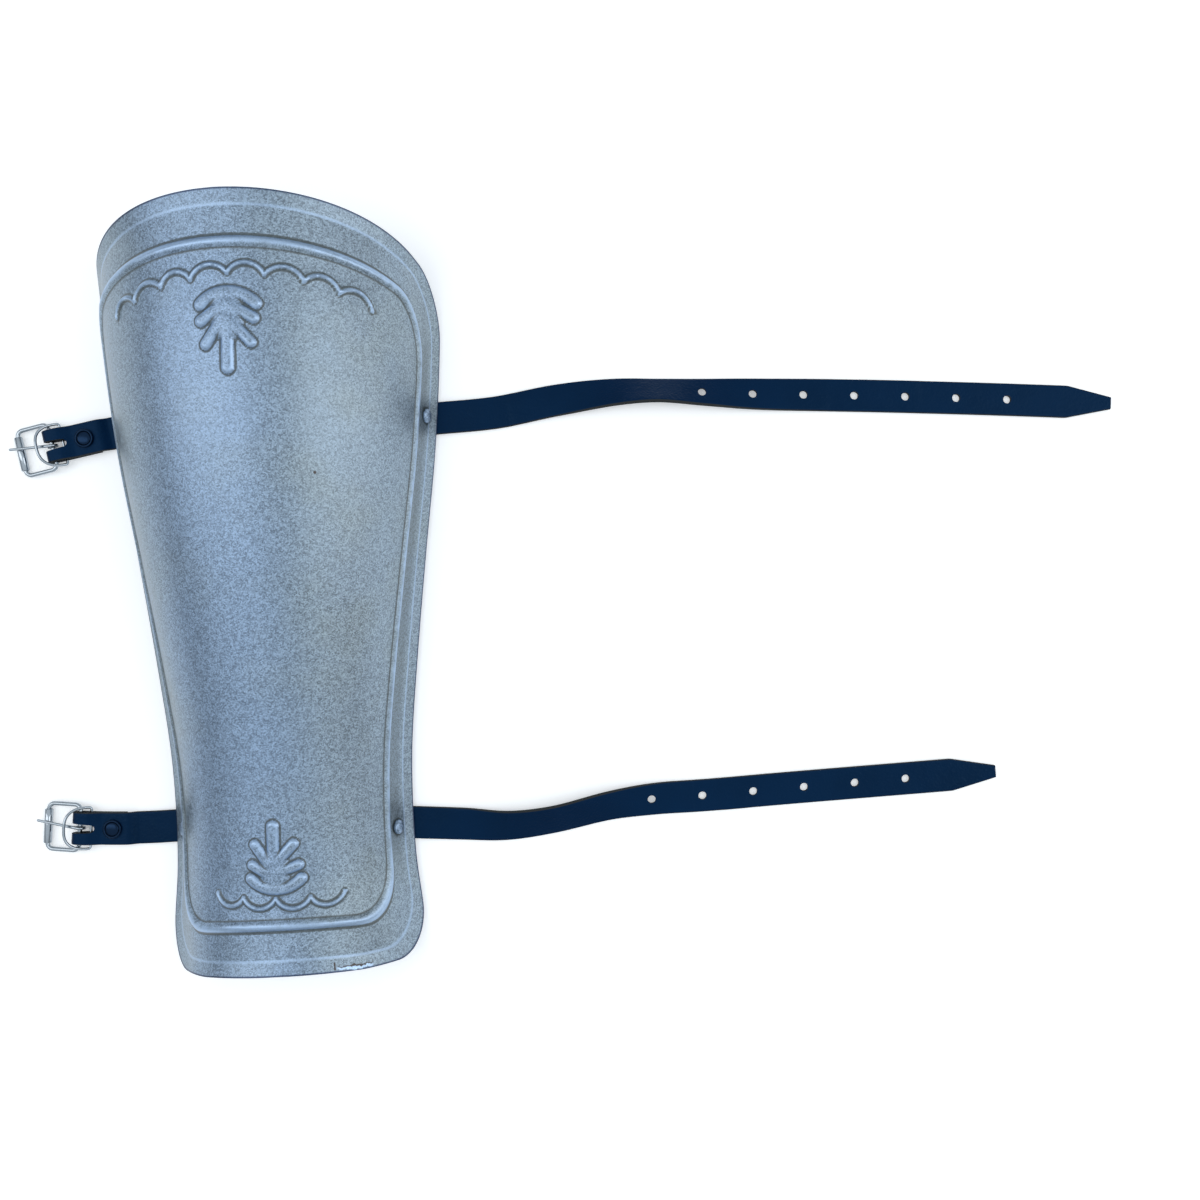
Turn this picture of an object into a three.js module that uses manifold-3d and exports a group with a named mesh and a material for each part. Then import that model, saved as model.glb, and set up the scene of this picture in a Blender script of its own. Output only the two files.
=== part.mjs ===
// A stamped steel greave lying crest up on its straps: two long punched straps on the right of the
// plate, two short straps with roller buckles on the left. Millimetres, +Y towards the knee, +Z up.
import * as THREE from "three";
import { mergeVertices } from "three/addons/utils/BufferGeometryUtils.js";
import Module from "manifold-3d";

// Plate
const PLATE_LENGTH = 351.5;
const KNEE_HALF_WIDTH = 84;
const CREST_RISE = 78;
const PLATE_WALL = 1;
const KNEE_ARCH = 30;
const ANKLE_DIP = 5;
const CORNER_RADIUS = 21;
const RIM_WIDTH = 5.5;
const RIM_FLARE = 1.5;
const BEAD_SIDE_INSET = 17;
const BEAD_END_INSET = 20;
const BEAD_WIDTH = 4.8;
const BEAD_HEIGHT = 1.8;
const PANEL_RISE = 0.9;
const PANEL_STEP = 13;

// Leather
const STRAP_WIDTH = 16;
const STRAP_THICKNESS = 2.2;
const STRAP_CHAMFER = 0.4;
const STRAP_TAIL = 9;
const STRAP_BEND_RADIUS = 2.4;
const UPPER_STRAP_REACH = 337;
const LOWER_STRAP_REACH = 292;
const TIP_TAPER = 22;
const TIP_WIDTH = 6;
const HOLE_DIAMETER = 4;
const HOLE_PITCH = 25.4;
const FOLD_UNDERLAP = 26;
const SLOT_WIDTH = 4.6;

// Rivets
const RIVET_HEAD_DIAMETER = 7;
const RIVET_HEAD_HEIGHT = 1.9;
const RIVET_SHANK_DIAMETER = 2.6;
const RIVET_WASHER_DIAMETER = 6;
const RIVET_WASHER_HEIGHT = 0.8;
const CAP_DIAMETER = 9.3;
const CAP_HEIGHT = 1.5;
const CAP_FROM_FOLD = 20.3;

// Buckles
const WIRE_DIAMETER = 2.2;
const FRAME_SIDE_PLAY = 2.3;
const FRAME_WIDTH = STRAP_WIDTH + 2 * (FRAME_SIDE_PLAY + WIRE_DIAMETER);
const FRAME_LENGTH = 16.5;
const FRAME_CORNER = 3;
const ROLLER_WALL = 0.6;
const TONGUE_DIAMETER = 1.5;
const TONGUE_OVERHANG = 4.8;
const TONGUE_SKEW = -8;
const KEEPER_WIRE = 1.4;
const KEEPER_SIDE_PLAY = 1.6;
const KEEPER_WIDTH = STRAP_WIDTH + 2 * (KEEPER_SIDE_PLAY + KEEPER_WIRE);
const KEEPER_DEPTH = 14;
const KEEPER_TILT = 28;
const KEEPER_FROM_FOLD = 9;

// Clearances
const GAP = 0.3;
const SEAT_GAP = 0.2;
const EDGE_LIFT = STRAP_THICKNESS + 0.7;

// Cross-sections from ankle to knee: an arc over the crest that runs into straight flanks.
// share of length, half width / KNEE_HALF_WIDTH, crest / CREST_RISE, flank angle (degrees)
const SECTIONS = [
  [0.0, 0.733, 0.597, 56],
  [0.05, 0.721, 0.578, 58],
  [0.12, 0.693, 0.56, 60],
  [0.2, 0.686, 0.578, 61],
  [0.28, 0.698, 0.617, 62],
  [0.4, 0.752, 0.699, 64],
  [0.55, 0.833, 0.809, 67],
  [0.7, 0.919, 0.905, 69],
  [0.85, 0.974, 0.963, 70],
  [0.93, 0.987, 0.981, 70],
  [1.0, 1.0, 1.0, 69],
];

// The long straps on the floor, from the plate's edge to the tip.
// share of reach, sideways share of reach (towards the knee), twist (degrees, knee edge up)
const UPPER_ROUTE = [
  [0.09, 0.0045, 0],
  [0.179, 0.0175, -8],
  [0.268, 0.0245, -30],
  [0.33, 0.0235, -40],
  [0.4, 0.018, -30],
  [0.48, 0.0125, -12],
  [0.6, 0.0057, 0],
  [0.8, -0.0087, 0],
  [1.0, -0.0252, 0],
];
const LOWER_ROUTE = [
  [0.09, -0.0065, 6],
  [0.165, -0.0117, 22],
  [0.241, -0.0051, 30],
  [0.343, 0.0144, 24],
  [0.42, 0.0208, 8],
  [0.5, 0.022, 0],
  [0.655, 0.0278, 0],
  [1.0, 0.0394, 0],
];

// Where the straps hang: shares of the plate's length at the rivets, then lengths and angles.
const STRAP_ROWS = {
  upper: {
    rightRow: 0.739,
    leftRow: 0.742,
    rivetInset: 8.6,
    reach: UPPER_STRAP_REACH,
    route: UPPER_ROUTE,
    firstHole: 134,
    holes: 7,
    buckleReach: 37.2,
    buckleHeading: 190.5,
    buckleTurn: 0,
  },
  lower: {
    rightRow: 0.1686,
    leftRow: 0.18,
    rivetInset: 10.8,
    reach: LOWER_STRAP_REACH,
    route: LOWER_ROUTE,
    firstHole: 121,
    holes: 6,
    buckleReach: 53.5,
    buckleHeading: 182,
    buckleTurn: -8,
  },
};

const UP = new THREE.Vector3(0, 0, 1);
const FACETS = 8;
const DEG = Math.PI / 180;

const steel = { color: 0x9db3c8, roughness: 0.4, metalness: 0.6 };
const leather = { color: 0x14202e, roughness: 0.45, metalness: 0 };
const nickel = { color: 0xc4cbd2, roughness: 0.2, metalness: 1 };
const darkCap = { color: 0x3a4048, roughness: 0.3, metalness: 1 };

const wasm = await Module();
wasm.setup();

// A closed geometry as a manifold-3d solid.
function toSolid(geometry) {
  const bare = geometry.clone();
  bare.deleteAttribute("normal");
  bare.deleteAttribute("uv");
  const merged = mergeVertices(bare, 1e-4);
  return new wasm.Manifold(
    new wasm.Mesh({
      numProp: 3,
      vertProperties: merged.attributes.position.array,
      triVerts: new Uint32Array(merged.index.array),
    }),
  );
}

function fromSolid(solid) {
  const mesh = solid.getMesh();
  const geometry = new THREE.BufferGeometry();
  geometry.setAttribute("position", new THREE.BufferAttribute(mesh.vertProperties, 3));
  geometry.setIndex(new THREE.BufferAttribute(mesh.triVerts, 1));
  geometry.computeVertexNormals();
  return geometry;
}

function cut(geometry, tools) {
  return fromSolid(tools.reduce((solid, tool) => solid.subtract(toSolid(tool)), toSolid(geometry)));
}

function join(a, b) {
  return fromSolid(toSolid(a).add(toSolid(b)));
}

// A cylinder round the line through `at` along `axis`, from `low` to `high` on it.
function pin(at, axis, diameter, low, high) {
  const geometry = new THREE.CylinderGeometry(diameter / 2, diameter / 2, high - low, 12);
  geometry.translate(0, (high + low) / 2, 0);
  geometry.applyQuaternion(new THREE.Quaternion().setFromUnitVectors(new THREE.Vector3(0, 1, 0), axis));
  geometry.translate(at.x, at.y, at.z);
  return geometry;
}

// Closes two grids of points, a front and the back behind it, into one solid with a wall round it.
function solidFromGrids(front, back) {
  const rows = front.length;
  const columns = front[0].length;
  const position = [...front.flat(), ...back.flat()].flatMap((point) => point.toArray());
  const index = [];
  const at = (face, i, j) => (face * rows + i) * columns + j;
  const quad = (a, b, c, d) => index.push(a, b, c, a, c, d);
  for (let i = 0; i < rows - 1; i++) {
    for (let j = 0; j < columns - 1; j++) {
      quad(at(0, i, j), at(0, i, j + 1), at(0, i + 1, j + 1), at(0, i + 1, j));
      quad(at(1, i, j), at(1, i + 1, j), at(1, i + 1, j + 1), at(1, i, j + 1));
    }
  }
  const end = rows - 1;
  for (let j = 0; j < columns - 1; j++) {
    quad(at(1, 0, j), at(1, 0, j + 1), at(0, 0, j + 1), at(0, 0, j));
    quad(at(1, end, j + 1), at(1, end, j), at(0, end, j), at(0, end, j + 1));
  }
  const side = columns - 1;
  for (let i = 0; i < end; i++) {
    quad(at(1, i + 1, 0), at(1, i, 0), at(0, i, 0), at(0, i + 1, 0));
    quad(at(1, i, side), at(1, i + 1, side), at(0, i + 1, side), at(0, i, side));
  }
  const geometry = new THREE.BufferGeometry();
  geometry.setAttribute("position", new THREE.Float32BufferAttribute(position, 3));
  geometry.setIndex(index);
  geometry.computeVertexNormals();
  return geometry;
}

// Round wire bent along a closed flat loop of points in the XY plane.
function wireLoop(points, diameter) {
  const position = [];
  const index = [];
  const count = points.length;
  points.forEach((point, i) => {
    const next = points[(i + 1) % count];
    const last = points[(i + count - 1) % count];
    const along = next.clone().sub(last).normalize();
    for (let k = 0; k < FACETS; k++) {
      const angle = (k / FACETS) * 2 * Math.PI;
      const out = (diameter / 2) * Math.cos(angle);
      position.push(point.x + along.y * out, point.y - along.x * out, (diameter / 2) * Math.sin(angle));
      const turn = (k + 1) % FACETS;
      const ahead = ((i + 1) % count) * FACETS;
      index.push(i * FACETS + k, ahead + k, ahead + turn, i * FACETS + k, ahead + turn, i * FACETS + turn);
    }
  });
  const geometry = new THREE.BufferGeometry();
  geometry.setAttribute("position", new THREE.Float32BufferAttribute(position, 3));
  geometry.setIndex(index);
  geometry.computeVertexNormals();
  return geometry;
}

// Plate: the face is found from the arc length across (from the crest) and the place along.

const sectionTable = new THREE.CubicInterpolant(
  SECTIONS.map((row) => row[0]),
  SECTIONS.flatMap((row) => row.slice(1)),
  3,
  new Float64Array(3),
);

function section(y) {
  const share = THREE.MathUtils.clamp(y / PLATE_LENGTH + 0.5, 0, 1);
  const [widthShare, crestShare, degrees] = sectionTable.evaluate(share);
  const halfWidth = widthShare * KNEE_HALF_WIDTH;
  const rise = crestShare * CREST_RISE;
  const angle = degrees * DEG;
  const radius = (halfWidth * Math.sin(angle) - rise * Math.cos(angle)) / (1 - Math.cos(angle));
  const flank = (halfWidth - radius * Math.sin(angle)) / Math.cos(angle);
  return { rise, angle, radius, halfArc: radius * angle + flank };
}

function facePoint(across, y) {
  const { rise, angle, radius } = section(y);
  const turned = Math.min(Math.abs(across) / radius, angle);
  const straight = Math.abs(across) - radius * turned;
  const x = radius * Math.sin(turned) + straight * Math.cos(angle);
  const drop = radius * (1 - Math.cos(turned)) + straight * Math.sin(angle);
  return new THREE.Vector3(Math.sign(across) * x, y, EDGE_LIFT + rise - drop);
}

function faceNormal(across, y) {
  const step = 0.05;
  const du = facePoint(across + step, y).sub(facePoint(across - step, y));
  const dv = facePoint(across, y + step).sub(facePoint(across, y - step));
  return du.cross(dv).normalize();
}

// The face at a depth below it (or, below zero, a height above it).
function platePoint(across, y, depth) {
  return facePoint(across, y).addScaledVector(faceNormal(across, y), -depth);
}

// Height of the stamped form over the plain face, by the distance from the plate's outline.
function relief(fromEdge) {
  const rim = RIM_FLARE * Math.max(0, 1 - fromEdge / RIM_WIDTH);
  const inset = THREE.MathUtils.clamp((fromEdge - BEAD_SIDE_INSET) / BEAD_WIDTH, 0, 1);
  return rim + PANEL_RISE * inset + BEAD_HEIGHT * Math.sin(Math.PI * inset);
}

const BLANK_HALF_WIDTH = section(PLATE_LENGTH / 2).halfArc;
const BLANK_HALF_LENGTH = PLATE_LENGTH / 2;
const BORDER = 2 * CORNER_RADIUS;
const END_STRETCH = BEAD_END_INSET / BEAD_SIDE_INSET;

// Grid lines of the blank from one side to the other: rim, bead, panel, bead and rim.
function blankLines(half, stretch) {
  const bead = [0, 0.25, 0.5, 0.75, 1].map((share) => BEAD_SIDE_INSET + share * BEAD_WIDTH);
  const fromEdge = [0, RIM_WIDTH / 2, RIM_WIDTH, (RIM_WIDTH + BEAD_SIDE_INSET) / 2, ...bead];
  const border = fromEdge.map((distance) => distance * stretch - half);
  const panel = half - (BEAD_SIDE_INSET + BEAD_WIDTH) * stretch;
  const count = Math.round(panel / PANEL_STEP);
  const middle = [];
  for (let k = 1 - count; k < count; k++) {
    middle.push((panel * k) / count);
  }
  return [...border, ...middle, ...border.map((line) => -line).reverse()];
}

// A point of the square-cornered blank moved on to the plate: its corners rounded, its end arched
// towards the sides, and its width drawn in to the leg's. The border keeps its real width.
function blankToPlate(p, q) {
  const inP = BLANK_HALF_WIDTH - BORDER;
  const inQ = BLANK_HALF_LENGTH - BORDER * END_STRETCH;
  const x = Math.max(Math.abs(p) - inP, 0);
  const y = Math.max(Math.abs(q) - inQ, 0) / END_STRETCH;
  const ring = Math.max(x, y);
  const radius = Math.min(ring, CORNER_RADIUS);
  const straight = ring - radius;
  const along = ring > 0 ? (Math.min(x, y) / ring) * (straight + (radius * Math.PI) / 4) : 0;
  const turn = radius > 0 ? Math.max(0, along - straight) / radius : 0;
  const far = straight + radius * Math.cos(turn);
  const near = Math.min(along, straight) + radius * Math.sin(turn);
  const outP = Math.sign(p) * (Math.min(Math.abs(p), inP) + (x >= y ? far : near));
  const outQ = Math.sign(q) * (Math.min(Math.abs(q), inQ) + (x >= y ? near : far) * END_STRETCH);
  const kneeShare = THREE.MathUtils.clamp((outQ + inQ) / (2 * inQ), 0, 1);
  const endShape = KNEE_ARCH * kneeShare + ANKLE_DIP * (1 - kneeShare);
  const placeY = outQ - endShape * (outP / BLANK_HALF_WIDTH) ** 2;
  const half = section(placeY).halfArc;
  const size = Math.abs(outP);
  const inward = (size * (half - BORDER)) / inP;
  const across = size > inP ? size - BLANK_HALF_WIDTH + half : inward;
  return { across: Math.sign(outP) * across, y: placeY, fromEdge: BORDER - ring };
}

function plateGeometry(holes) {
  const grid = (depth) =>
    blankLines(BLANK_HALF_LENGTH, END_STRETCH).map((q) =>
      blankLines(BLANK_HALF_WIDTH, 1).map((p) => {
        const { across, y, fromEdge } = blankToPlate(p, q);
        return platePoint(across, y, depth - relief(fromEdge));
      }),
    );
  return cut(solidFromGrids(grid(0), grid(PLATE_WALL)), holes);
}

// Leather: a strap is carried along stations, each a place, the way along and the way up.

function strapGeometry(stations, halfWidthAt) {
  const grid = (face) =>
    stations.map(({ at, along, up }, i) => {
      const across = along.clone().cross(up);
      const half = halfWidthAt(i);
      const high = (face * STRAP_THICKNESS) / 2;
      const low = high - face * STRAP_CHAMFER;
      return [
        [-half, low],
        [STRAP_CHAMFER - half, high],
        [half - STRAP_CHAMFER, high],
        [half, low],
      ].map(([sideways, rise]) => at.clone().addScaledVector(across, sideways).addScaledVector(up, rise));
    });
  return solidFromGrids(grid(1), grid(-1));
}

// The place of a strap's rivet on the plate, right or left of the crest.
function rivetPlace({ rightRow, leftRow, rivetInset }, side) {
  const share = side > 0 ? rightRow : leftRow;
  return { side, y: (share - 0.5) * PLATE_LENGTH, inset: rivetInset };
}

// Stations down the inside of a flank from the strap's end, and round under the plate's edge.
function rootStations({ side, y, inset }) {
  const depth = PLATE_WALL + GAP + STRAP_THICKNESS / 2;
  const top = inset + STRAP_TAIL;
  const half = section(y).halfArc;
  const normal = faceNormal(side * (half - 1), y);
  const level = new THREE.Vector3(normal.x, normal.y, 0).normalize();
  const angle = Math.acos(normal.z);
  const tangent = STRAP_BEND_RADIUS * Math.tan(angle / 2);
  const crossing = (STRAP_THICKNESS / 2 - EDGE_LIFT + depth * Math.cos(angle)) / Math.sin(angle);
  const start = crossing + tangent;
  const stations = [];
  const flankSteps = 4;
  for (let k = 0; k <= flankSteps; k++) {
    const fromEdge = top + ((start - top) * k) / flankSteps;
    const across = side * (half - Math.max(fromEdge, 0));
    const up = faceNormal(across, y);
    const down = UP.clone().negate().addScaledVector(up, up.z).normalize();
    stations.push({ at: platePoint(across, y, depth), along: down, up });
  }
  const edge = facePoint(side * half, y);
  const centre = edge.addScaledVector(level, tangent - crossing * Math.cos(angle) - depth * Math.sin(angle));
  centre.z = STRAP_THICKNESS / 2 + STRAP_BEND_RADIUS;
  const bendSteps = 6;
  for (let k = 0; k <= bendSteps; k++) {
    const turn = angle * (1 - k / bendSteps);
    const up = UP.clone().multiplyScalar(Math.cos(turn)).addScaledVector(level, Math.sin(turn));
    const along = UP.clone().multiplyScalar(-Math.sin(turn)).addScaledVector(level, Math.cos(turn));
    const at = centre.clone().addScaledVector(up, -STRAP_BEND_RADIUS);
    stations.push({ at, along, up });
  }
  return stations;
}

// Smoothly from 0 at `start` to 1 at `end`.
function ease(value, start, end) {
  return THREE.MathUtils.smoothstep(value, start, end);
}

function longStrap(strapRow) {
  const { reach, route, firstHole, holes } = strapRow;
  const rivet = rivetPlace(strapRow, 1);
  const root = rootStations(rivet);
  const { at: start } = root[root.length - 1];
  const offsets = [[0, 0, 0], ...route];
  const plan = offsets.map(([along, aside]) => new THREE.Vector3(along * reach, aside * reach, 0).add(start));
  const curve = new THREE.CatmullRomCurve3(plan, false, "centripetal");
  const length = curve.getLength();
  const twists = new THREE.CubicInterpolant(
    offsets.map((offset) => offset[0] * reach),
    offsets.map((offset) => offset[2]),
    1,
    new Float64Array(1),
  );
  const steps = Math.round(length / 8);
  const floor = [];
  const widths = [];
  for (let k = 1; k <= steps; k++) {
    const distance = (length * k) / steps;
    const at = curve.getPointAt(k / steps);
    const along = curve.getTangentAt(k / steps);
    const twist = twists.evaluate(at.x - start.x)[0] * DEG;
    // under a degree of twist the strap lies flat
    const roll = Math.abs(twist) < DEG ? 0 : twist;
    const lift = (STRAP_WIDTH / 2) * Math.abs(Math.sin(roll)) + (STRAP_THICKNESS / 2) * (Math.cos(roll) - 1);
    at.addScaledVector(UP, lift);
    floor.push({ at, along, up: UP.clone().applyAxisAngle(along, roll) });
    const left = length - distance;
    widths.push(THREE.MathUtils.mapLinear(Math.min(left, TIP_TAPER), 0, TIP_TAPER, TIP_WIDTH, STRAP_WIDTH));
  }
  const stations = [...root, ...floor];
  const geometry = strapGeometry(stations, (i) => (i < root.length ? STRAP_WIDTH : widths[i - root.length]) / 2);
  const tools = [rivetHole(rivet)];
  for (let k = 0; k < holes; k++) {
    const place = (firstHole + k * HOLE_PITCH) / length;
    if (place < 1 - TIP_TAPER / length) {
      tools.push(pin(curve.getPointAt(place), UP, HOLE_DIAMETER, -STRAP_WIDTH / 2, STRAP_WIDTH));
    }
  }
  return cut(geometry, tools);
}

// Rivets: local +Y is the rivet's axis, and its zero is the plate's outer face.

function rivetGeometry() {
  const head = RIVET_HEAD_DIAMETER / 2;
  const shank = RIVET_SHANK_DIAMETER / 2;
  const washer = RIVET_WASHER_DIAMETER / 2;
  const tail = -(PLATE_WALL + GAP + STRAP_THICKNESS + SEAT_GAP);
  const profile = [
    new THREE.Vector2(0, tail - RIVET_WASHER_HEIGHT),
    new THREE.Vector2(washer, tail - RIVET_WASHER_HEIGHT),
    new THREE.Vector2(washer, tail),
    new THREE.Vector2(shank, tail),
    new THREE.Vector2(shank, SEAT_GAP),
    new THREE.Vector2(head, SEAT_GAP),
  ];
  const domeSteps = 4;
  for (let k = 1; k <= domeSteps; k++) {
    const angle = ((k / domeSteps) * Math.PI) / 2;
    profile.push(new THREE.Vector2(head * Math.cos(angle), SEAT_GAP + RIVET_HEAD_HEIGHT * Math.sin(angle)));
  }
  profile[profile.length - 1].x = 0;
  return new THREE.LatheGeometry(profile, 12);
}

function rivetSeat({ side, y, inset }) {
  const across = side * (section(y).halfArc - inset);
  return { at: facePoint(across, y), axis: faceNormal(across, y) };
}

function rivetHole(place) {
  const { at, axis } = rivetSeat(place);
  const depth = PLATE_WALL + GAP + STRAP_THICKNESS + 1;
  return pin(at, axis, RIVET_SHANK_DIAMETER + 2 * GAP, -depth, 1);
}

// Buckle heights, and places along the strap measured back from its fold.

const FOLD_RADIUS = WIRE_DIAMETER / 2 + GAP + STRAP_THICKNESS / 2;
const PIVOT_HEIGHT = FOLD_RADIUS + STRAP_THICKNESS / 2;
const PIVOT_FROM_FOLD = PIVOT_HEIGHT;
const LOW_LAYER = STRAP_THICKNESS / 2;
const HIGH_LAYER = 1.5 * STRAP_THICKNESS + GAP;
const ROLLER_RADIUS = WIRE_DIAMETER / 2 + GAP + ROLLER_WALL;
const FRAME_TILT = Math.asin((PIVOT_HEIGHT - ROLLER_RADIUS) / FRAME_LENGTH);

// The buckle strap's line on the floor: straight out from the plate's edge, then a slight turn.
function bucklePlan(strapRow) {
  const { buckleReach, buckleHeading, buckleTurn } = strapRow;
  const root = rootStations(rivetPlace(strapRow, -1));
  const start = root[root.length - 1].at;
  const out = new THREE.Vector3(1, 0, 0).applyAxisAngle(UP, buckleHeading * DEG);
  const turned = out.clone().applyAxisAngle(UP, buckleTurn * DEG);
  const elbow = start.clone().addScaledVector(out, buckleReach / 2);
  const end = elbow.clone().addScaledVector(turned, buckleReach / 2);
  const curve = new THREE.QuadraticBezierCurve3(start, elbow, end);
  const length = curve.getLength();
  // a place so far back from the fold, with the way along there
  const place = (back) => {
    const share = 1 - back / length;
    return { at: curve.getPointAt(share).setZ(0), along: curve.getTangentAt(share) };
  };
  return { root, length, place };
}

function buckleStrap(strapRow) {
  const { root, length, place } = bucklePlan(strapRow);
  // back from the fold, height, slope
  const line = [];
  const riseEnd = FOLD_UNDERLAP + 0.8;
  const riseStart = riseEnd + 6;
  const capEdge = CAP_FROM_FOLD - CAP_DIAMETER / 2 - 0.5;
  const heelStart = PIVOT_FROM_FOLD + 3.5;
  const heightAt = (back) =>
    LOW_LAYER +
    (HIGH_LAYER - LOW_LAYER) * (1 - ease(back, riseEnd, riseStart)) +
    (PIVOT_HEIGHT + FOLD_RADIUS - HIGH_LAYER) * (1 - ease(back, heelStart, capEdge));
  const steps = Math.round(length / 1.6);
  for (let k = 1; k <= steps; k++) {
    const back = length + ((PIVOT_FROM_FOLD - length) * k) / steps;
    const slope = Math.atan((heightAt(back - 0.05) - heightAt(back + 0.05)) / 0.1);
    line.push([back, heightAt(back), slope]);
  }
  const foldSteps = 10;
  for (let k = 1; k <= foldSteps; k++) {
    const angle = (Math.PI * k) / foldSteps;
    const back = PIVOT_FROM_FOLD - FOLD_RADIUS * Math.sin(angle);
    line.push([back, PIVOT_HEIGHT + FOLD_RADIUS * Math.cos(angle), -angle]);
  }
  line.push([(PIVOT_FROM_FOLD + FOLD_UNDERLAP) / 2, LOW_LAYER, -Math.PI]);
  line.push([FOLD_UNDERLAP, LOW_LAYER, -Math.PI]);
  const folded = line.map(([back, height, slope]) => {
    const { at, along: ahead } = place(back);
    const along = ahead.clone().multiplyScalar(Math.cos(slope)).addScaledVector(UP, Math.sin(slope));
    const up = UP.clone().multiplyScalar(Math.cos(slope)).addScaledVector(ahead, -Math.sin(slope));
    return { at: at.setZ(height), along, up };
  });
  const geometry = strapGeometry([...root, ...folded], () => STRAP_WIDTH / 2);
  const cap = place(CAP_FROM_FOLD).at;
  const washerHole = RIVET_WASHER_DIAMETER + 2 * GAP;
  const slotBack = PIVOT_FROM_FOLD + 8;
  const slot = new THREE.BoxGeometry(slotBack + 2, SLOT_WIDTH, 4 * PIVOT_HEIGHT);
  const middle = place(slotBack / 2);
  slot.rotateZ(Math.atan2(middle.along.y, middle.along.x));
  slot.translate(middle.at.x, middle.at.y, PIVOT_HEIGHT);
  return cut(geometry, [
    rivetHole(rivetPlace(strapRow, -1)),
    pin(cap, UP, RIVET_SHANK_DIAMETER + 2 * GAP, -1, 3 * STRAP_THICKNESS),
    pin(cap, UP, washerHole, -1, RIVET_WASHER_HEIGHT + SEAT_GAP),
    slot,
  ]);
}

// Local +Y is the rivet's axis, and its zero is the floor.
function capRivetGeometry() {
  const shank = RIVET_SHANK_DIAMETER / 2;
  const washer = RIVET_WASHER_DIAMETER / 2;
  const cap = CAP_DIAMETER / 2;
  const low = SEAT_GAP / 2;
  const seat = HIGH_LAYER + STRAP_THICKNESS / 2 + SEAT_GAP;
  const profile = [
    [0, low],
    [washer, low],
    [washer, RIVET_WASHER_HEIGHT - low],
    [shank, RIVET_WASHER_HEIGHT - low],
    [shank, seat],
    [cap, seat],
    [cap, seat + 0.3 * CAP_HEIGHT],
    [0.86 * cap, seat + 0.75 * CAP_HEIGHT],
    [0.5 * cap, seat + CAP_HEIGHT],
    [0, seat + CAP_HEIGHT],
  ].map(([x, y]) => new THREE.Vector2(x, y));
  return new THREE.LatheGeometry(profile, 16);
}

// Buckle pieces: local zero is the middle of the heel bar, +X points away from the plate.

function frameGeometry() {
  const halfWidth = (FRAME_WIDTH - WIRE_DIAMETER) / 2;
  const points = [];
  const cornerSteps = 3;
  for (let corner = 0; corner < 4; corner++) {
    const right = corner === 0 || corner === 3;
    const top = corner < 2;
    const centre = new THREE.Vector2(
      right ? FRAME_LENGTH - FRAME_CORNER : FRAME_CORNER,
      (top ? 1 : -1) * (halfWidth - FRAME_CORNER),
    );
    for (let k = 0; k <= cornerSteps; k++) {
      const angle = ((corner + k / cornerSteps) * Math.PI) / 2;
      const arm = new THREE.Vector2(Math.cos(angle), Math.sin(angle)).multiplyScalar(FRAME_CORNER);
      points.push(centre.clone().add(arm));
    }
  }
  return wireLoop(points, WIRE_DIAMETER);
}

// A sleeve on the frame's far bar, its axis along local Y.
function rollerGeometry() {
  const inner = WIRE_DIAMETER / 2 + GAP;
  const half = FRAME_WIDTH / 2 - WIRE_DIAMETER - FRAME_CORNER + WIRE_DIAMETER / 2;
  const profile = [
    [inner, -half],
    [ROLLER_RADIUS, -half],
    [ROLLER_RADIUS, half],
    [inner, half],
    [inner, -half],
  ].map(([x, y]) => new THREE.Vector2(x, y));
  return new THREE.LatheGeometry(profile, 16);
}

function tongueGeometry() {
  const ringRadius = WIRE_DIAMETER / 2 + GAP + TONGUE_DIAMETER / 2;
  const ring = new THREE.TorusGeometry(ringRadius, TONGUE_DIAMETER / 2, FACETS, 16);
  ring.rotateX(Math.PI / 2);
  const overRoller = ROLLER_RADIUS - PIVOT_HEIGHT + ROLLER_RADIUS + TONGUE_DIAMETER / 2 + SEAT_GAP;
  const drop = (ringRadius - overRoller) / (FRAME_LENGTH * Math.cos(FRAME_TILT));
  const length = FRAME_LENGTH + TONGUE_OVERHANG;
  const rod = new THREE.CylinderGeometry(TONGUE_DIAMETER / 2, 0.36 * TONGUE_DIAMETER, length, FACETS);
  rod.rotateZ(Math.PI / 2);
  rod.translate(length / 2, 0, 0);
  rod.rotateY(Math.atan(drop));
  rod.rotateZ(TONGUE_SKEW * DEG);
  rod.translate(0, 0, ringRadius);
  return join(ring, rod);
}

// A ring of wire with one straight side on local Y, its bow towards +X.
function keeperGeometry() {
  const halfWidth = (KEEPER_WIDTH - KEEPER_WIRE) / 2;
  const depth = KEEPER_DEPTH - KEEPER_WIRE;
  const cornerDepth = 1.2;
  const fullness = 0.75;
  const points = [new THREE.Vector2(0, -halfWidth + cornerDepth), new THREE.Vector2(0.3, -halfWidth + 0.3)];
  const bowSteps = 14;
  for (let k = 0; k <= bowSteps; k++) {
    const angle = (k / bowSteps - 0.5) * Math.PI;
    const forward = Math.max(0, Math.cos(angle)) ** fullness;
    const aside = Math.sign(angle) * Math.abs(Math.sin(angle)) ** fullness;
    points.push(new THREE.Vector2(cornerDepth + (depth - cornerDepth) * forward, halfWidth * aside));
  }
  points.push(new THREE.Vector2(0.3, halfWidth - 0.3), new THREE.Vector2(0, halfWidth - cornerDepth));
  return wireLoop(points, KEEPER_WIRE);
}

function mesh(name, geometry, finish) {
  const made = new THREE.Mesh(geometry, new THREE.MeshStandardMaterial(finish));
  made.name = name;
  return made;
}

// A group on the strap's line, so far back from the fold and so high, with +X along the strap.
function onStrap({ place }, back, height) {
  const { at, along } = place(back);
  const group = new THREE.Group();
  group.position.copy(at).setZ(height);
  group.rotation.z = Math.atan2(along.y, along.x);
  return group;
}

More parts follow.
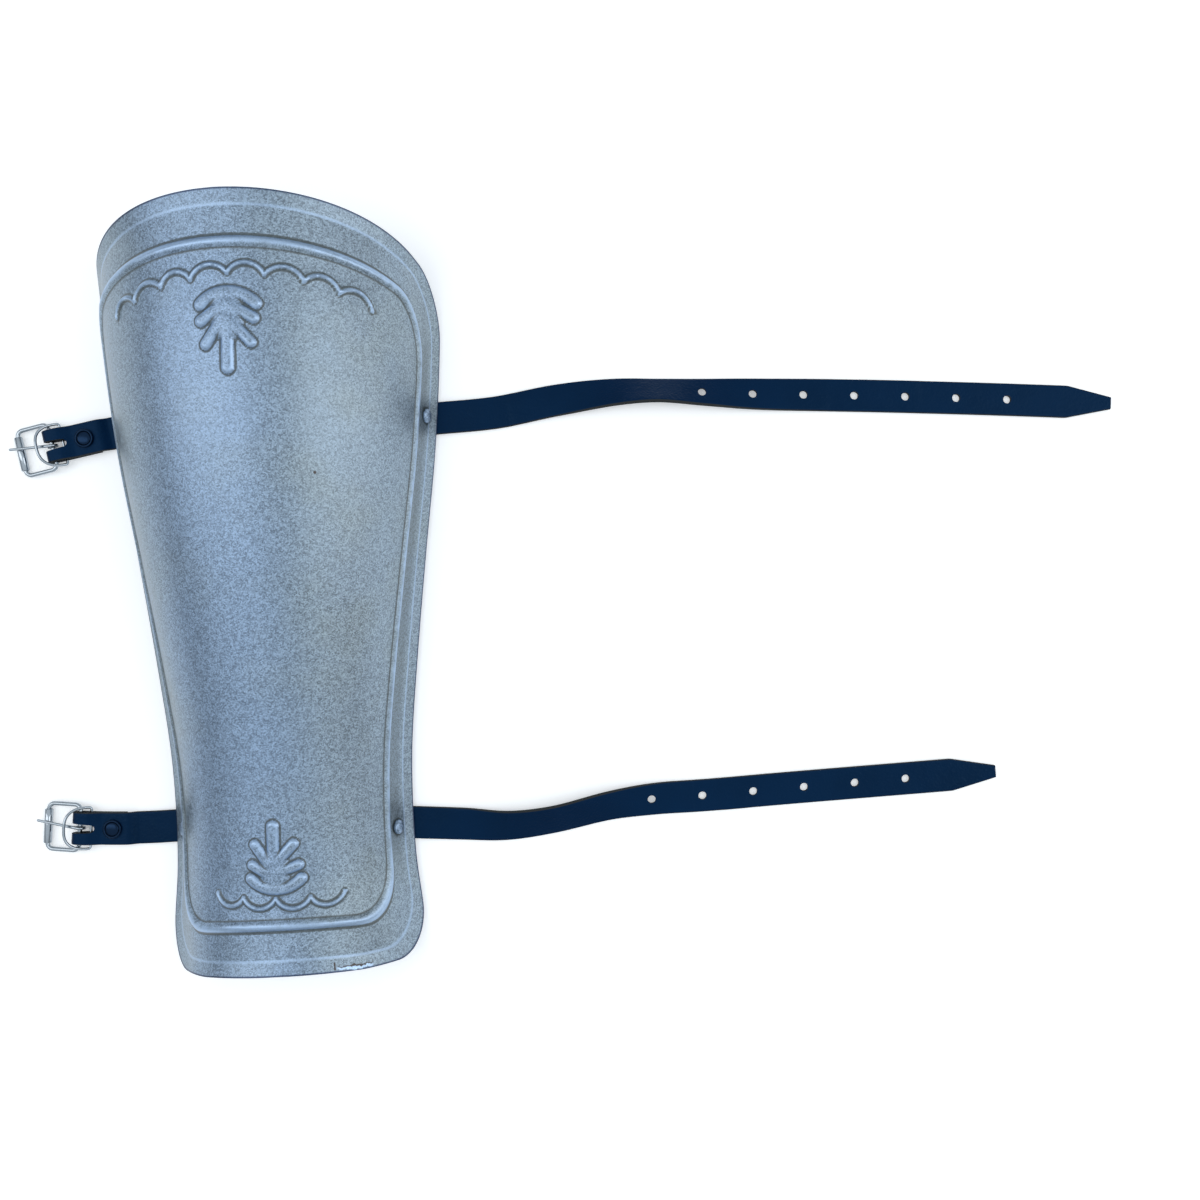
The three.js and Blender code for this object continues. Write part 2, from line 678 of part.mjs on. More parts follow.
function buckle(name, plan) {
  const heel = onStrap(plan, PIVOT_FROM_FOLD, PIVOT_HEIGHT);
  const frame = new THREE.Group();
  frame.rotation.y = FRAME_TILT;
  const roller = mesh(`${name}_buckle_roller`, rollerGeometry(), nickel);
  roller.position.x = FRAME_LENGTH;
  frame.add(mesh(`${name}_buckle_frame`, frameGeometry(), nickel), roller);
  heel.add(frame, mesh(`${name}_buckle_tongue`, tongueGeometry(), nickel));
  const keeper = onStrap(plan, KEEPER_FROM_FOLD, STRAP_THICKNESS + GAP + KEEPER_WIRE / 2);
  const ring = mesh(`${name}_keeper_ring`, keeperGeometry(), nickel);
  ring.rotation.y = -KEEPER_TILT * DEG;
  keeper.add(ring);
  const capGroup = onStrap(plan, CAP_FROM_FOLD, 0);
  const cap = mesh(`${name}_cap_rivet`, capRivetGeometry(), darkCap);
  cap.rotation.x = Math.PI / 2;
  capGroup.add(cap);
  return [heel, keeper, capGroup];
}

function rivet(name, place) {
  const { at, axis } = rivetSeat(place);
  const made = mesh(name, rivetGeometry(), steel);
  made.position.copy(at);
  made.quaternion.setFromUnitVectors(new THREE.Vector3(0, 1, 0), axis);
  return made;
}

const greave = new THREE.Group();
const plateHoles = [];
for (const [name, strapRow] of Object.entries(STRAP_ROWS)) {
  for (const [sideName, side] of [["right", 1], ["left", -1]]) {
    const place = rivetPlace(strapRow, side);
    plateHoles.push(rivetHole(place));
    greave.add(rivet(`${name}_${sideName}_rivet`, place));
  }
  greave.add(mesh(`${name}_long_strap`, longStrap(strapRow), leather));
  greave.add(mesh(`${name}_buckle_strap`, buckleStrap(strapRow), leather));
  greave.add(...buckle(name, bucklePlan(strapRow)));
}
greave.add(mesh("greave_plate", plateGeometry(plateHoles), steel));

// The origin is the middle of the whole object's box, on the floor.
const box = new THREE.Box3().setFromObject(greave, true);
greave.position.set(-(box.min.x + box.max.x) / 2, -(box.min.y + box.max.y) / 2, 0);
const group = new THREE.Group();
group.add(greave);

export default group;
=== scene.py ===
import math

import bpy
import numpy as np
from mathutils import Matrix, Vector


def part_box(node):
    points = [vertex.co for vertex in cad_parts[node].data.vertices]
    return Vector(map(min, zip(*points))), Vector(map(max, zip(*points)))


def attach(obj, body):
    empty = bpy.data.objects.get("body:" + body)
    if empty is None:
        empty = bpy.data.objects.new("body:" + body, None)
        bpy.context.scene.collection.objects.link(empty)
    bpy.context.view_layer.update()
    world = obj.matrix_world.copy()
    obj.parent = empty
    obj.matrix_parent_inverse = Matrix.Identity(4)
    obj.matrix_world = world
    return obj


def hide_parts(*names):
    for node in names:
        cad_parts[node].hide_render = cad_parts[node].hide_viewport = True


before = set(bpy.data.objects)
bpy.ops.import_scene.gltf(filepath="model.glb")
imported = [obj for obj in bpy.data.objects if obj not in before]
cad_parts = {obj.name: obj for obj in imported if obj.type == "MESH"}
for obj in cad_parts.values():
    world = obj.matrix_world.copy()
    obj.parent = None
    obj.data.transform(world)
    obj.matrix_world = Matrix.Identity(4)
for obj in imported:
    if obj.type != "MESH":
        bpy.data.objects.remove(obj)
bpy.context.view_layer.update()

# Looks of a stamped greave: lengths below are millimetres in the greave's own frame, which has its
# zero under the crest at mid length, +Y towards the knee and +Z up from the surface it lies on.

bl_info = {
    "name": "Stamped greave",
    "version": (1, 0, 0),
    "blender": (4, 5, 0),
    "location": "3D View > Sidebar > Greave",
    "description": "Builds the finished surfaces of a stamped greave around its CAD frame",
    "category": "Object",
}

MM = 0.001

# Plate, as in the CAD part
PLATE_LENGTH = 351.5
KNEE_HALF_WIDTH = 84.0
CREST_RISE = 78.0
PLATE_WALL = 1.0
KNEE_ARCH = 30.0
ANKLE_DIP = 5.0
CORNER_RADIUS = 21.0
RIM_WIDTH = 5.5
RIM_FLARE = 1.5
BEAD_SIDE_INSET = 17.0
BEAD_END_INSET = 20.0
BEAD_WIDTH = 4.8
BEAD_HEIGHT = 1.8
PANEL_RISE = 0.9

# Leather and buckles, as in the CAD part
STRAP_WIDTH = 16.0
STRAP_THICKNESS = 2.2
STRAP_CORNER = 0.55
STRAP_TAIL = 9.0
STRAP_BEND_RADIUS = 2.4
TIP_TAPER = 22.0
TIP_WIDTH = 6.0
HOLE_DIAMETER = 4.0
HOLE_PITCH = 25.4
FOLD_UNDERLAP = 26.0
SLOT_WIDTH = 3.9
SLOT_REACH = 8.0
FOLD_CLEARANCE = 0.8
FOLD_RISE_RUN = 6.0
HEEL_RISE_REACH = 3.5
RIVET_HEAD_DIAMETER = 7.0
RIVET_HEAD_HEIGHT = 1.9
RIVET_SHANK_DIAMETER = 2.6
RIVET_WASHER_DIAMETER = 6.0
RIVET_WASHER_HEIGHT = 0.8
CAP_DIAMETER = 9.3
CAP_HEIGHT = 1.5
CAP_FROM_FOLD = 20.3
WIRE_DIAMETER = 2.2
FRAME_WIDTH = 25.0
FRAME_LENGTH = 16.5
FRAME_CORNER = 3.0
ROLLER_WALL = 0.6
ROLLER_SEAM = math.radians(10)
TONGUE_DIAMETER = 1.5
TONGUE_OVERHANG = 4.8
TONGUE_SKEW = math.radians(-8)
TONGUE_WRAP = (348, 92)
# Where the tongue is flattened, how far that spreads, and how much wider and thinner it gets
TONGUE_FLAT_AT = 4.0
TONGUE_FLAT_SPREAD = 2.2
TONGUE_WIDER = 0.12
TONGUE_THINNER = 0.1
KEEPER_WIRE = 1.4
KEEPER_WIDTH = 22.0
KEEPER_DEPTH = 14.0
KEEPER_TILT = math.radians(28)
# The keeper's corner radius at its bar, and the power that fills its bow out
KEEPER_CORNER = 1.2
KEEPER_FULLNESS = 0.75
KEEPER_FROM_FOLD = 9.0
GAP = 0.3
SEAT_GAP = 0.2
EDGE_LIFT = STRAP_THICKNESS + 0.7

# Cross-sections from ankle to knee:
# share of length, half width / KNEE_HALF_WIDTH, crest / CREST_RISE, flank angle (degrees)
SECTIONS = np.array(
    [
        [0.0, 0.733, 0.597, 56],
        [0.05, 0.721, 0.578, 58],
        [0.12, 0.693, 0.56, 60],
        [0.2, 0.686, 0.578, 61],
        [0.28, 0.698, 0.617, 62],
        [0.4, 0.752, 0.699, 64],
        [0.55, 0.833, 0.809, 67],
        [0.7, 0.919, 0.905, 69],
        [0.85, 0.974, 0.963, 70],
        [0.93, 0.987, 0.981, 70],
        [1.0, 1.0, 1.0, 69],
    ]
)

# The long straps on the floor:
# share of reach, sideways share of reach, twist (degrees, knee edge up)
ROUTES = {
    "upper": [
        [0.0, 0.0, 0],
        [0.09, 0.0045, 0],
        [0.179, 0.0175, -8],
        [0.268, 0.0245, -30],
        [0.33, 0.0235, -40],
        [0.4, 0.018, -30],
        [0.48, 0.0125, -12],
        [0.6, 0.0057, 0],
        [0.8, -0.0087, 0],
        [1.0, -0.0252, 0],
    ],
    "lower": [
        [0.0, 0.0, 0],
        [0.09, -0.0065, 6],
        [0.165, -0.0117, 22],
        [0.241, -0.0051, 30],
        [0.343, 0.0144, 24],
        [0.42, 0.0208, 8],
        [0.5, 0.022, 0],
        [0.655, 0.0278, 0],
        [1.0, 0.0394, 0],
    ],
}

# Where the straps hang: shares of the plate's length at the rivets, then lengths and angles.
STRAP_ROWS = {
    "upper": {
        "right_row": 0.739,
        "left_row": 0.742,
        "rivet_inset": 8.6,
        "reach": 337.0,
        "first_hole": 134.0,
        "holes": 7,
        "buckle_reach": 37.2,
        "buckle_heading": math.radians(190.5),
        "buckle_turn": 0.0,
    },
    "lower": {
        "right_row": 0.1686,
        "left_row": 0.18,
        "rivet_inset": 10.8,
        "reach": 292.0,
        "first_hole": 121.0,
        "holes": 6,
        "buckle_reach": 53.5,
        "buckle_heading": math.radians(182),
        "buckle_turn": math.radians(-8),
    },
}

# Stamped ornament, by arc length across from the crest and place along. The leaves' fingers:
# root across, root along, tip across, tip along, radius
KNEE_FINGERS = [
    [0.4, 126.5, 0.3, 117.0, 7.6],
    [0.4, 126.5, -11.0, 119.2, 2.9],
    [-0.9, 120.6, -9.5, 109.1, 2.8],
    [0.5, 117.0, -0.6, 98.7, 3.2],
    [0.9, 119.6, 9.9, 109.3, 2.8],
    [2.2, 125.3, 11.7, 119.7, 2.9],
]
ANKLE_FINGERS = [
    [0.7, -124.0, 0.8, -130.5, 7.0],
    [0.6, -123.6, 1.3, -106.9, 3.2],
    [2.0, -123.8, 9.9, -115.5, 2.8],
    [-1.7, -124.2, -7.4, -115.1, 2.8],
    [2.9, -128.3, 11.8, -125.4, 2.8],
    [-3.1, -128.5, -9.0, -124.7, 2.8],
]
# The leaves' curved ends: the arc of a last finger's middle, its rise and radius
KNEE_CAP = [-10.7, 126.2, 13.0, 125.9, 5.0, 3.1]
ANKLE_CAP = [-10.0, -131.0, 12.7, -131.8, -4.8, 3.0]
# The cusps between the scallops: across, along
KNEE_CUSPS = [
    [-60.9, 127.9],
    [-45.8, 132.2],
    [-29.3, 135.9],
    [-14.6, 137.4],
    [1.7, 139.3],
    [17.3, 138.2],
    [33.8, 135.8],
    [49.4, 132.0],
    [65.6, 126.2],
]
ANKLE_CUSPS = [[-28.3, -138.2], [-14.2, -139.9], [0.9, -140.6], [16.3, -141.0], [31.9, -140.4]]
KNEE_BULGE = 4.7
ANKLE_BULGE = -4.6
RIDGE_HALF_WIDTH = 1.75
# A scallop's height as a share of a leaf's, and the width over which fingers merge
SCALLOP_SHARE = 0.75
FINGER_BLEND = 0.4
# How far the ornament reaches, where the plate's grid is close
LEAF_REACH = 19
SCALLOP_REACH = 70
ANKLE_ORNAMENT_TOP = -100
KNEE_ORNAMENT_FOOT = 94
FINE_SPACING = 0.62
# A dark speck in the paint: across, along
DOT_PLACE = (32.9, 52.8, 0.0)
# Chipped paint at the ankle's rim: along from..to, and across for its split and its line
CHIP_ROWS = (-160.0, -165.0)
CHIP_SPLIT = (25.7, 26.6)
CHIP_STRETCH = (27.5, 45.0)

# Paint, in millimetres over the plate. The grain's darkest and palest share of the colour, where
# across the plate the painted reflection of the sky is bluest, and how far from there it turns
# greyer
GRAIN_RANGE = (0.55, 1.4)
SKY_REFLECTION_ACROSS = -15.0
REFLECTION_GREYER_AT = (14.0, 48.0)
# Painted shade beside the bead, a darker strip: its rise and fall by distance from the edge, and
# along the plate
PAINTED_SHADE_BESIDE_BEAD = ((6.5, 11.0), (25.0, 17.0))
PAINTED_SHADE_ALONG = ((-150.0, -120.0), (135.0, 105.0))
# The painted highlight along the rim's crease, the dark cut edge, and the painted shadow round a
# rivet's head
CREASE_HIGHLIGHT = ((4.9, 5.5), (6.6, 5.9))
CUT_EDGE = (0.85, 0.3)
RIVET_PAINTED_SHADOW = (5.1, 3.9)

# Camera over the object: its foot in the greave's frame, its height and its turn
CAMERA_FOOT = (156.5, -10.3)
CAMERA_HEIGHT = 600.0
CAMERA_TURN = math.radians(-2.74)
CAMERA_LENS = 36.0

# Floor and soft boxes in metres: place, then width and length
FLOOR_HALF_SIZE = 12.0
LEFT_BOX = ((-0.9, 0.1, 1.1), (0.5, 1.6))
RIGHT_BOX = ((1.2, 0.0, 0.8), (0.6, 1.8))
BOXES_AIM_HEIGHT = 0.03
SKY_COLOUR = (0.88, 0.95, 1.0, 1)
# The sky's ray height at which it is brightest
SKY_TOP = 0.85

UP = np.array([0.0, 0.0, 1.0])
# Distance from the plate's edge that is given to points which have none
NO_EDGE = 30.0

plate_low, plate_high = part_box("greave_plate")
ORIGIN = np.array(
    [(plate_low.x + plate_high.x) / 2, plate_high.y - MM * PLATE_LENGTH / 2, 0.0]
)


# Plain mathematics


def cubic_table(x, table):
    """Values between a table's rows: in each interval the cubic whose slope at each knot is the
    mean of the two neighbouring chords' slopes, and at the ends the end chord's."""
    table = np.asarray(table, float)
    knots, values = table[:, 0], table[:, 1:]
    chord = np.diff(values, axis=0) / np.diff(knots)[:, None]
    slope = np.concatenate([chord[:1], (chord[1:] + chord[:-1]) / 2, chord[-1:]])
    x = np.clip(x, knots[0], knots[-1])
    i = np.clip(np.searchsorted(knots, x, side="right") - 1, 0, len(knots) - 2)
    step = knots[i + 1] - knots[i]
    t = ((x - knots[i]) / step)[..., None]
    step = step[..., None]
    return (
        (2 * t**3 - 3 * t**2 + 1) * values[i]
        + (t**3 - 2 * t**2 + t) * step * slope[i]
        + (3 * t**2 - 2 * t**3) * values[i + 1]
        + (t**3 - t**2) * step * slope[i + 1]
    )


def smoothstep(x, start, end):
    """3t^2 - 2t^3, with t running from 0 at start to 1 at end."""
    t = np.clip((x - start) / (end - start), 0, 1)
    return t * t * (3 - 2 * t)


def unit(vectors):
    """Vectors divided by their lengths."""
    return vectors / np.linalg.norm(vectors, axis=-1, keepdims=True)


def turned(vector, axis, angle):
    """Vectors turned about unit axes by angles: v cos + (k x v) sin + k (k.v)(1 - cos)."""
    angle = np.asarray(angle, float)[..., None]
    along = np.sum(axis * vector, axis=-1, keepdims=True)
    return (
        vector * np.cos(angle)
        + np.cross(axis, vector) * np.sin(angle)
        + axis * along * (1 - np.cos(angle))
    )


# Meshes


def grid_faces(rows, columns, start=0, wrap_rows=False, wrap_columns=False):
    """Four-cornered faces of a grid of points stored row by row, closed round where asked."""
    index = start + np.arange(rows * columns).reshape(rows, columns)
    if wrap_rows:
        index = np.vstack([index, index[:1]])
    if wrap_columns:
        index = np.hstack([index, index[:, :1]])
    corners = [index[:-1, :-1], index[:-1, 1:], index[1:, 1:], index[1:, :-1]]
    return np.stack(corners, -1).reshape(-1, 4)


def signed_volume(points, faces):
    """A sixth of the sum of v0 . (v1 x v2) over the fans of each face."""
    total = 0.0
    for group in faces:
        for k in range(1, group.shape[1] - 1):
            a, b, c = points[group[:, 0]], points[group[:, k]], points[group[:, k + 1]]
            total += np.sum(a * np.cross(b, c))
    return total / 6


def new_mesh(name, points, faces, layers=None, corner_masks=None):
    """A mesh from points in greave millimetres and groups of faces, turned to face outwards.
    layers are numbers for each point, corner_masks a pair of numbers for each point kept as UV."""
    faces = [np.atleast_2d(group) for group in faces]
    if signed_volume(points, faces) < 0:
        faces = [group[:, ::-1] for group in faces]
    mesh = bpy.data.meshes.new(name)
    listed = [face for group in faces for face in group.tolist()]
    mesh.from_pydata((points * MM + ORIGIN).tolist(), [], listed)
    for layer, values in (layers or {}).items():
        made = mesh.attributes.new(layer, "FLOAT", "POINT")
        made.data.foreach_set("value", np.asarray(values, np.float32).ravel())
    if corner_masks is not None:
        corners = np.zeros(len(mesh.loops), np.int32)
        mesh.loops.foreach_get("vertex_index", corners)
        uv = mesh.uv_layers.new(name="sides")
        uv.data.foreach_set("uv", corner_masks[corners].astype(np.float32).ravel())
    mesh.update()
    return mesh


def add_piece(name, mesh, material, body, node, sharp=50.0):
    """Puts a finished mesh into the scene as the piece that stands for a CAD node."""
    obj = bpy.data.objects.new(name, mesh)
    bpy.context.scene.collection.objects.link(obj)
    mesh.materials.clear()
    mesh.materials.append(material)
    mesh.polygons.foreach_set("use_smooth", np.ones(len(mesh.polygons), bool))
    mesh.set_sharp_from_angle(angle=math.radians(sharp))
    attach(obj, body)
    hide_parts(node)
    return obj


def drilled(mesh, cutters):
    """The mesh less the cutters, as a new mesh: each cutter is (points, faces)."""
    objects = []
    for k, (points, faces) in enumerate(cutters):
        tool = new_mesh(f"cutter_{k}", points, faces, corner_masks=np.zeros((len(points), 2)))
        objects.append(bpy.data.objects.new(tool.name, tool))
    stock = bpy.data.objects.new("stock", mesh)
    for obj in [stock, *objects]:
        bpy.context.scene.collection.objects.link(obj)
    for obj in objects:
        modifier = stock.modifiers.new("drill", "BOOLEAN")
        modifier.operation = "DIFFERENCE"
        modifier.solver = "EXACT"
        modifier.object = obj
    graph = bpy.context.evaluated_depsgraph_get()
    made = bpy.data.meshes.new_from_object(stock.evaluated_get(graph), depsgraph=graph)
    for obj in [stock, *objects]:
        bpy.data.objects.remove(obj)
    return made


def sweep(path, side, up, profile, closed=False):
    """A profile of (sideways, upwards) pairs carried along a path: path + side*s + up*u for each
    pair. An open sweep gets a flat cap at each end. Returns points and faces."""
    profile = np.broadcast_to(profile, (len(path),) + profile.shape[-2:])
    points = (
        path[:, None, :]
        + side[:, None, :] * profile[..., :1]
        + up[:, None, :] * profile[..., 1:]
    )
    rows, columns = points.shape[:2]
    faces = [grid_faces(rows, columns, wrap_rows=closed, wrap_columns=True)]
    if not closed:
        first = np.arange(columns)
        faces += [first, (first + (rows - 1) * columns)[::-1]]
    return points.reshape(-1, 3), faces


def circle(diameter, sides, width=1.0, height=1.0):
    """Points of a circle, or of an ellipse with those shares of its width and height."""
    angle = np.arange(sides) / sides * 2 * np.pi
    shape = np.stack([width * np.cos(angle), height * np.sin(angle)], -1)
    return shape * diameter / 2


def lathe(profile, at, axis, sides=64):
    """A profile of (radius, height) pairs turned about an axis through a point, its two ends on
    the axis closed by fans. Returns points and faces."""
    profile = np.asarray(profile, float)
    first = unit(np.cross(axis, UP + [0.1, 0.2, 0.0]))
    second = np.cross(axis, first)
    angle = np.arange(sides) / sides * 2 * np.pi
    ring = np.cos(angle)[:, None] * first + np.sin(angle)[:, None] * second
    body = profile[1:-1]
    rings = at + body[:, 0, None, None] * ring + body[:, 1, None, None] * axis
    poles = at + profile[[0, -1], 1, None] * axis
    points = np.concatenate([rings.reshape(-1, 3), poles])
    low, high = len(points) - 2, len(points) - 1
    around = np.arange(sides)
    ahead = (around + 1) % sides
    last = (len(body) - 1) * sides
    bottom = np.stack([np.full(sides, low), ahead, around], -1)
    top = np.stack([np.full(sides, high), last + around, last + ahead], -1)
    return points, [grid_faces(len(body), sides, wrap_columns=True), bottom, top]


# Plate


def section(y):
    """Crest height, flank angle, arc radius and half arc length at a place along the plate. The arc
    of radius R and angle F meets the straight flank, so that R sin F + S cos F is the half width
    and R (1 - cos F) + S sin F the rise."""
    width_share, crest_share, degrees = np.moveaxis(
        cubic_table(y / PLATE_LENGTH + 0.5, SECTIONS), -1, 0
    )
    half_width = width_share * KNEE_HALF_WIDTH
    rise = crest_share * CREST_RISE
    angle = np.radians(degrees)
    radius = (half_width * np.sin(angle) - rise * np.cos(angle)) / (1 - np.cos(angle))
    flank = (half_width - radius * np.sin(angle)) / np.cos(angle)
    return rise, angle, radius, radius * angle + flank


def face_point(across, y):
    """Point of the plain face at an arc length across from the crest: on the arc up to its angle,
    then down the straight flank."""
    rise, angle, radius, _ = section(y)
    turn = np.minimum(np.abs(across) / radius, angle)
    straight = np.abs(across) - radius * turn
    x = radius * np.sin(turn) + straight * np.cos(angle)
    drop = radius * (1 - np.cos(turn)) + straight * np.sin(angle)
    return np.stack([np.sign(across) * x, y, EDGE_LIFT + rise - drop], -1)


def face_normal(across, y):
    """Cross product of the face's differences across and along."""
    step = 0.05
    du = face_point(across + step, y) - face_point(across - step, y)
    dv = face_point(across, y + step) - face_point(across, y - step)
    return unit(np.cross(du, dv))


def plate_point(across, y, height):
    """The plain face's point moved out along its normal by a height."""
    return face_point(across, y) + face_normal(across, y) * np.asarray(height)[..., None]


def relief(from_edge):
    """Rim, bead and panel by distance from the outline: a straight flare, then a half sine bead
    whose outer foot is the sharper, on the step up to the panel."""
    rim = RIM_FLARE * np.maximum(0, 1 - from_edge / RIM_WIDTH)
    t = np.clip((from_edge - BEAD_SIDE_INSET) / BEAD_WIDTH, 0, 1)
    return rim + PANEL_RISE * t + BEAD_HEIGHT * np.sin(np.pi * t**0.8)


BLANK_HALF_WIDTH = float(section(np.array(PLATE_LENGTH / 2))[3])
BLANK_HALF_LENGTH = PLATE_LENGTH / 2
BORDER = 2 * CORNER_RADIUS
END_STRETCH = BEAD_END_INSET / BEAD_SIDE_INSET


def blank_to_plate(p, q):
    """A point of the square-cornered blank on the plate: corners rounded, ends arched towards the
    sides, width drawn in to the leg's. Returns arc length across, place along and distance from
    the outline."""
    in_p = BLANK_HALF_WIDTH - BORDER
    in_q = BLANK_HALF_LENGTH - BORDER * END_STRETCH
    x = np.maximum(np.abs(p) - in_p, 0)
    y = np.maximum(np.abs(q) - in_q, 0) / END_STRETCH
    ring = np.maximum(x, y)
    radius = np.minimum(ring, CORNER_RADIUS)
    straight = ring - radius
    safe_ring = np.where(ring > 0, ring, 1)
    along = np.minimum(x, y) / safe_ring * (straight + radius * np.pi / 4)
    turn = np.maximum(0, along - straight) / np.where(radius > 0, radius, 1)
    far = straight + radius * np.cos(turn)
    near = np.minimum(along, straight) + radius * np.sin(turn)
    wide = x >= y
    out_p = np.sign(p) * (np.minimum(np.abs(p), in_p) + np.where(wide, far, near))
    long_part = np.where(wide, near, far) * END_STRETCH
    out_q = np.sign(q) * (np.minimum(np.abs(q), in_q) + long_part)
    knee_share = np.clip((out_q + in_q) / (2 * in_q), 0, 1)
    end_shape = KNEE_ARCH * knee_share + ANKLE_DIP * (1 - knee_share)
    place_y = out_q - end_shape * (out_p / BLANK_HALF_WIDTH) ** 2
    half = section(place_y)[3]
    size = np.abs(out_p)
    inward = size * (half - BORDER) / in_p
    across = np.where(size > in_p, size - BLANK_HALF_WIDTH + half, inward)
    return np.sign(out_p) * across, place_y, BORDER - ring


def distance_to_arc(across, along, start, end, bulge):
    """Distance to the circle arc from start to end that stands bulge above its chord: the circle's
    radius is (c^2/4 + s^2) / 2s for chord c and rise s. Past its ends, the distance to an end."""
    chord = end - start
    length = np.hypot(*chord)
    ahead = chord / length
    out = np.array([-ahead[1], ahead[0]]) * np.sign(bulge)
    middle = (start + end) / 2
    rise = abs(bulge)
    radius = (length**2 / 4 + rise**2) / (2 * rise)
    dx, dy = across - middle[0], along - middle[1]
    u = dx * ahead[0] + dy * ahead[1]
    v = dx * out[0] + dy * out[1] + radius - rise
    half_angle = math.atan2(length / 2, radius - rise)
    on_arc = np.arctan2(np.abs(u), v) <= half_angle
    to_end = np.hypot(np.abs(u) - length / 2, v - radius + rise)
    return np.where(on_arc, np.abs(np.hypot(u, v) - radius), to_end)


def distance_to_segment(across, along, root, tip):
    """Distance to the segment's nearest point, which is at the share t of the way from root to
    tip: (point - root) . span / |span|^2, held between 0 and 1."""
    span = tip - root
    dx, dy = across - root[0], along - root[1]
    t = np.clip((dx * span[0] + dy * span[1]) / np.sum(span**2), 0, 1)
    return np.hypot(dx - t * span[0], dy - t * span[1])


def merged(first, second, blend):
    """The larger of two heights, rounded over where they differ by less than blend:
    max + k (1 - |difference| / blend)^2 with k a quarter of it, fading out at height 0."""
    near = np.maximum(0, 1 - np.abs(first - second) / blend)
    fade = np.minimum(1, np.minimum(first, second) / blend)
    return np.maximum(first, second) + near**2 * blend / 4 * fade


def leaf_height(across, along, fingers, cap):
    """A leaf's height: fingers with the profile 1 - (d / r)^3, merged softly with each other."""
    parts = [
        (distance_to_segment(across, along, np.array(f[:2]), np.array(f[2:4])), f[4])
        for f in fingers
    ]
    curved = distance_to_arc(across, along, np.array(cap[:2]), np.array(cap[2:4]), cap[4])
    parts.append((curved, cap[5]))
    height = np.zeros_like(across)
    for distance, radius in parts:
        share = np.clip(distance / radius, 0, 1)
        height = merged(height, 1 - share**3, FINGER_BLEND)
    return height


def ornament(across, along, height):
    """Height of the stamped scallops and leaves: ridges with the profile cos^2 of their distance,
    and the leaves."""
    raised = np.zeros_like(across)
    for cusps, bulge in ((KNEE_CUSPS, KNEE_BULGE), (ANKLE_CUSPS, ANKLE_BULGE)):
        for start, end in zip(cusps[:-1], cusps[1:]):
            d = distance_to_arc(across, along, np.array(start), np.array(end), bulge)
            ridge = np.cos(np.pi / 2 * np.clip(d / RIDGE_HALF_WIDTH, 0, 1)) ** 2
            raised = np.maximum(raised, SCALLOP_SHARE * height * ridge)
    for fingers, cap in ((KNEE_FINGERS, KNEE_CAP), (ANKLE_FINGERS, ANKLE_CAP)):
        raised = np.maximum(raised, height * leaf_height(across, along, fingers, cap))
    return raised


def grid_lines(stops):
    """Lines from pairs of a place and the spacing up to the next, spread evenly between them."""
    lines = [
        np.linspace(low, high, max(1, round((high - low) / spacing)), endpoint=False)
        for (low, spacing), (high, _) in zip(stops[:-1], stops[1:])
    ]
    return np.concatenate(lines + [[stops[-1][0]]])


def plate_lines():
    """Blank lines across and along, close where the rim, bead and ornament need them."""
    bead = BEAD_SIDE_INSET + BEAD_WIDTH + 1
    border = [(0, 0.9), (RIM_WIDTH + 0.9, 2.4), (BEAD_SIDE_INSET - 1, 0.55), (bead, 2.6)]
    half = BLANK_HALF_WIDTH
    ornament_side = [(-SCALLOP_REACH, 1.1), (-LEAF_REACH, 0)]
    side = grid_lines([(d - half, s) for d, s in border] + ornament_side)
    middle = grid_lines([(-LEAF_REACH, FINE_SPACING), (LEAF_REACH, 0)])
    across = np.concatenate([side[:-1], middle, -side[:-1][::-1]])
    half = BLANK_HALF_LENGTH
    ends = [(d * END_STRETCH, s * END_STRETCH) for d, s in border]
    ankle = [(d - half, s) for d, s in ends[:-1]]
    ankle += [(ends[-1][0] - half, 0.55), (ANKLE_ORNAMENT_TOP, 3.2)]
    knee = [(KNEE_ORNAMENT_FOOT, FINE_SPACING), (half - ends[-1][0], 0)]
    along = grid_lines(ankle + knee)
    top = half - grid_lines(ends[:-1] + [(ends[-1][0], 0)])
    return across, np.concatenate([along[:-1], top[::-1]])


def cavity_of(across, along, from_edge, height):
    """How far the mean height 0.7 mm away lies over the height here: positive in grooves and feet,
    negative on ridges."""
    step = 0.7
    here = ornament(across, along, height)
    round_about = (
        ornament(across + step, along, height)
        + ornament(across - step, along, height)
        + ornament(across, along + step, height)
        + ornament(across, along - step, height)
    ) / 4
    border = relief(from_edge)
    border_about = (relief(from_edge + step) + relief(from_edge - step)) / 2
    return round_about - here + (border_about - border) / 2


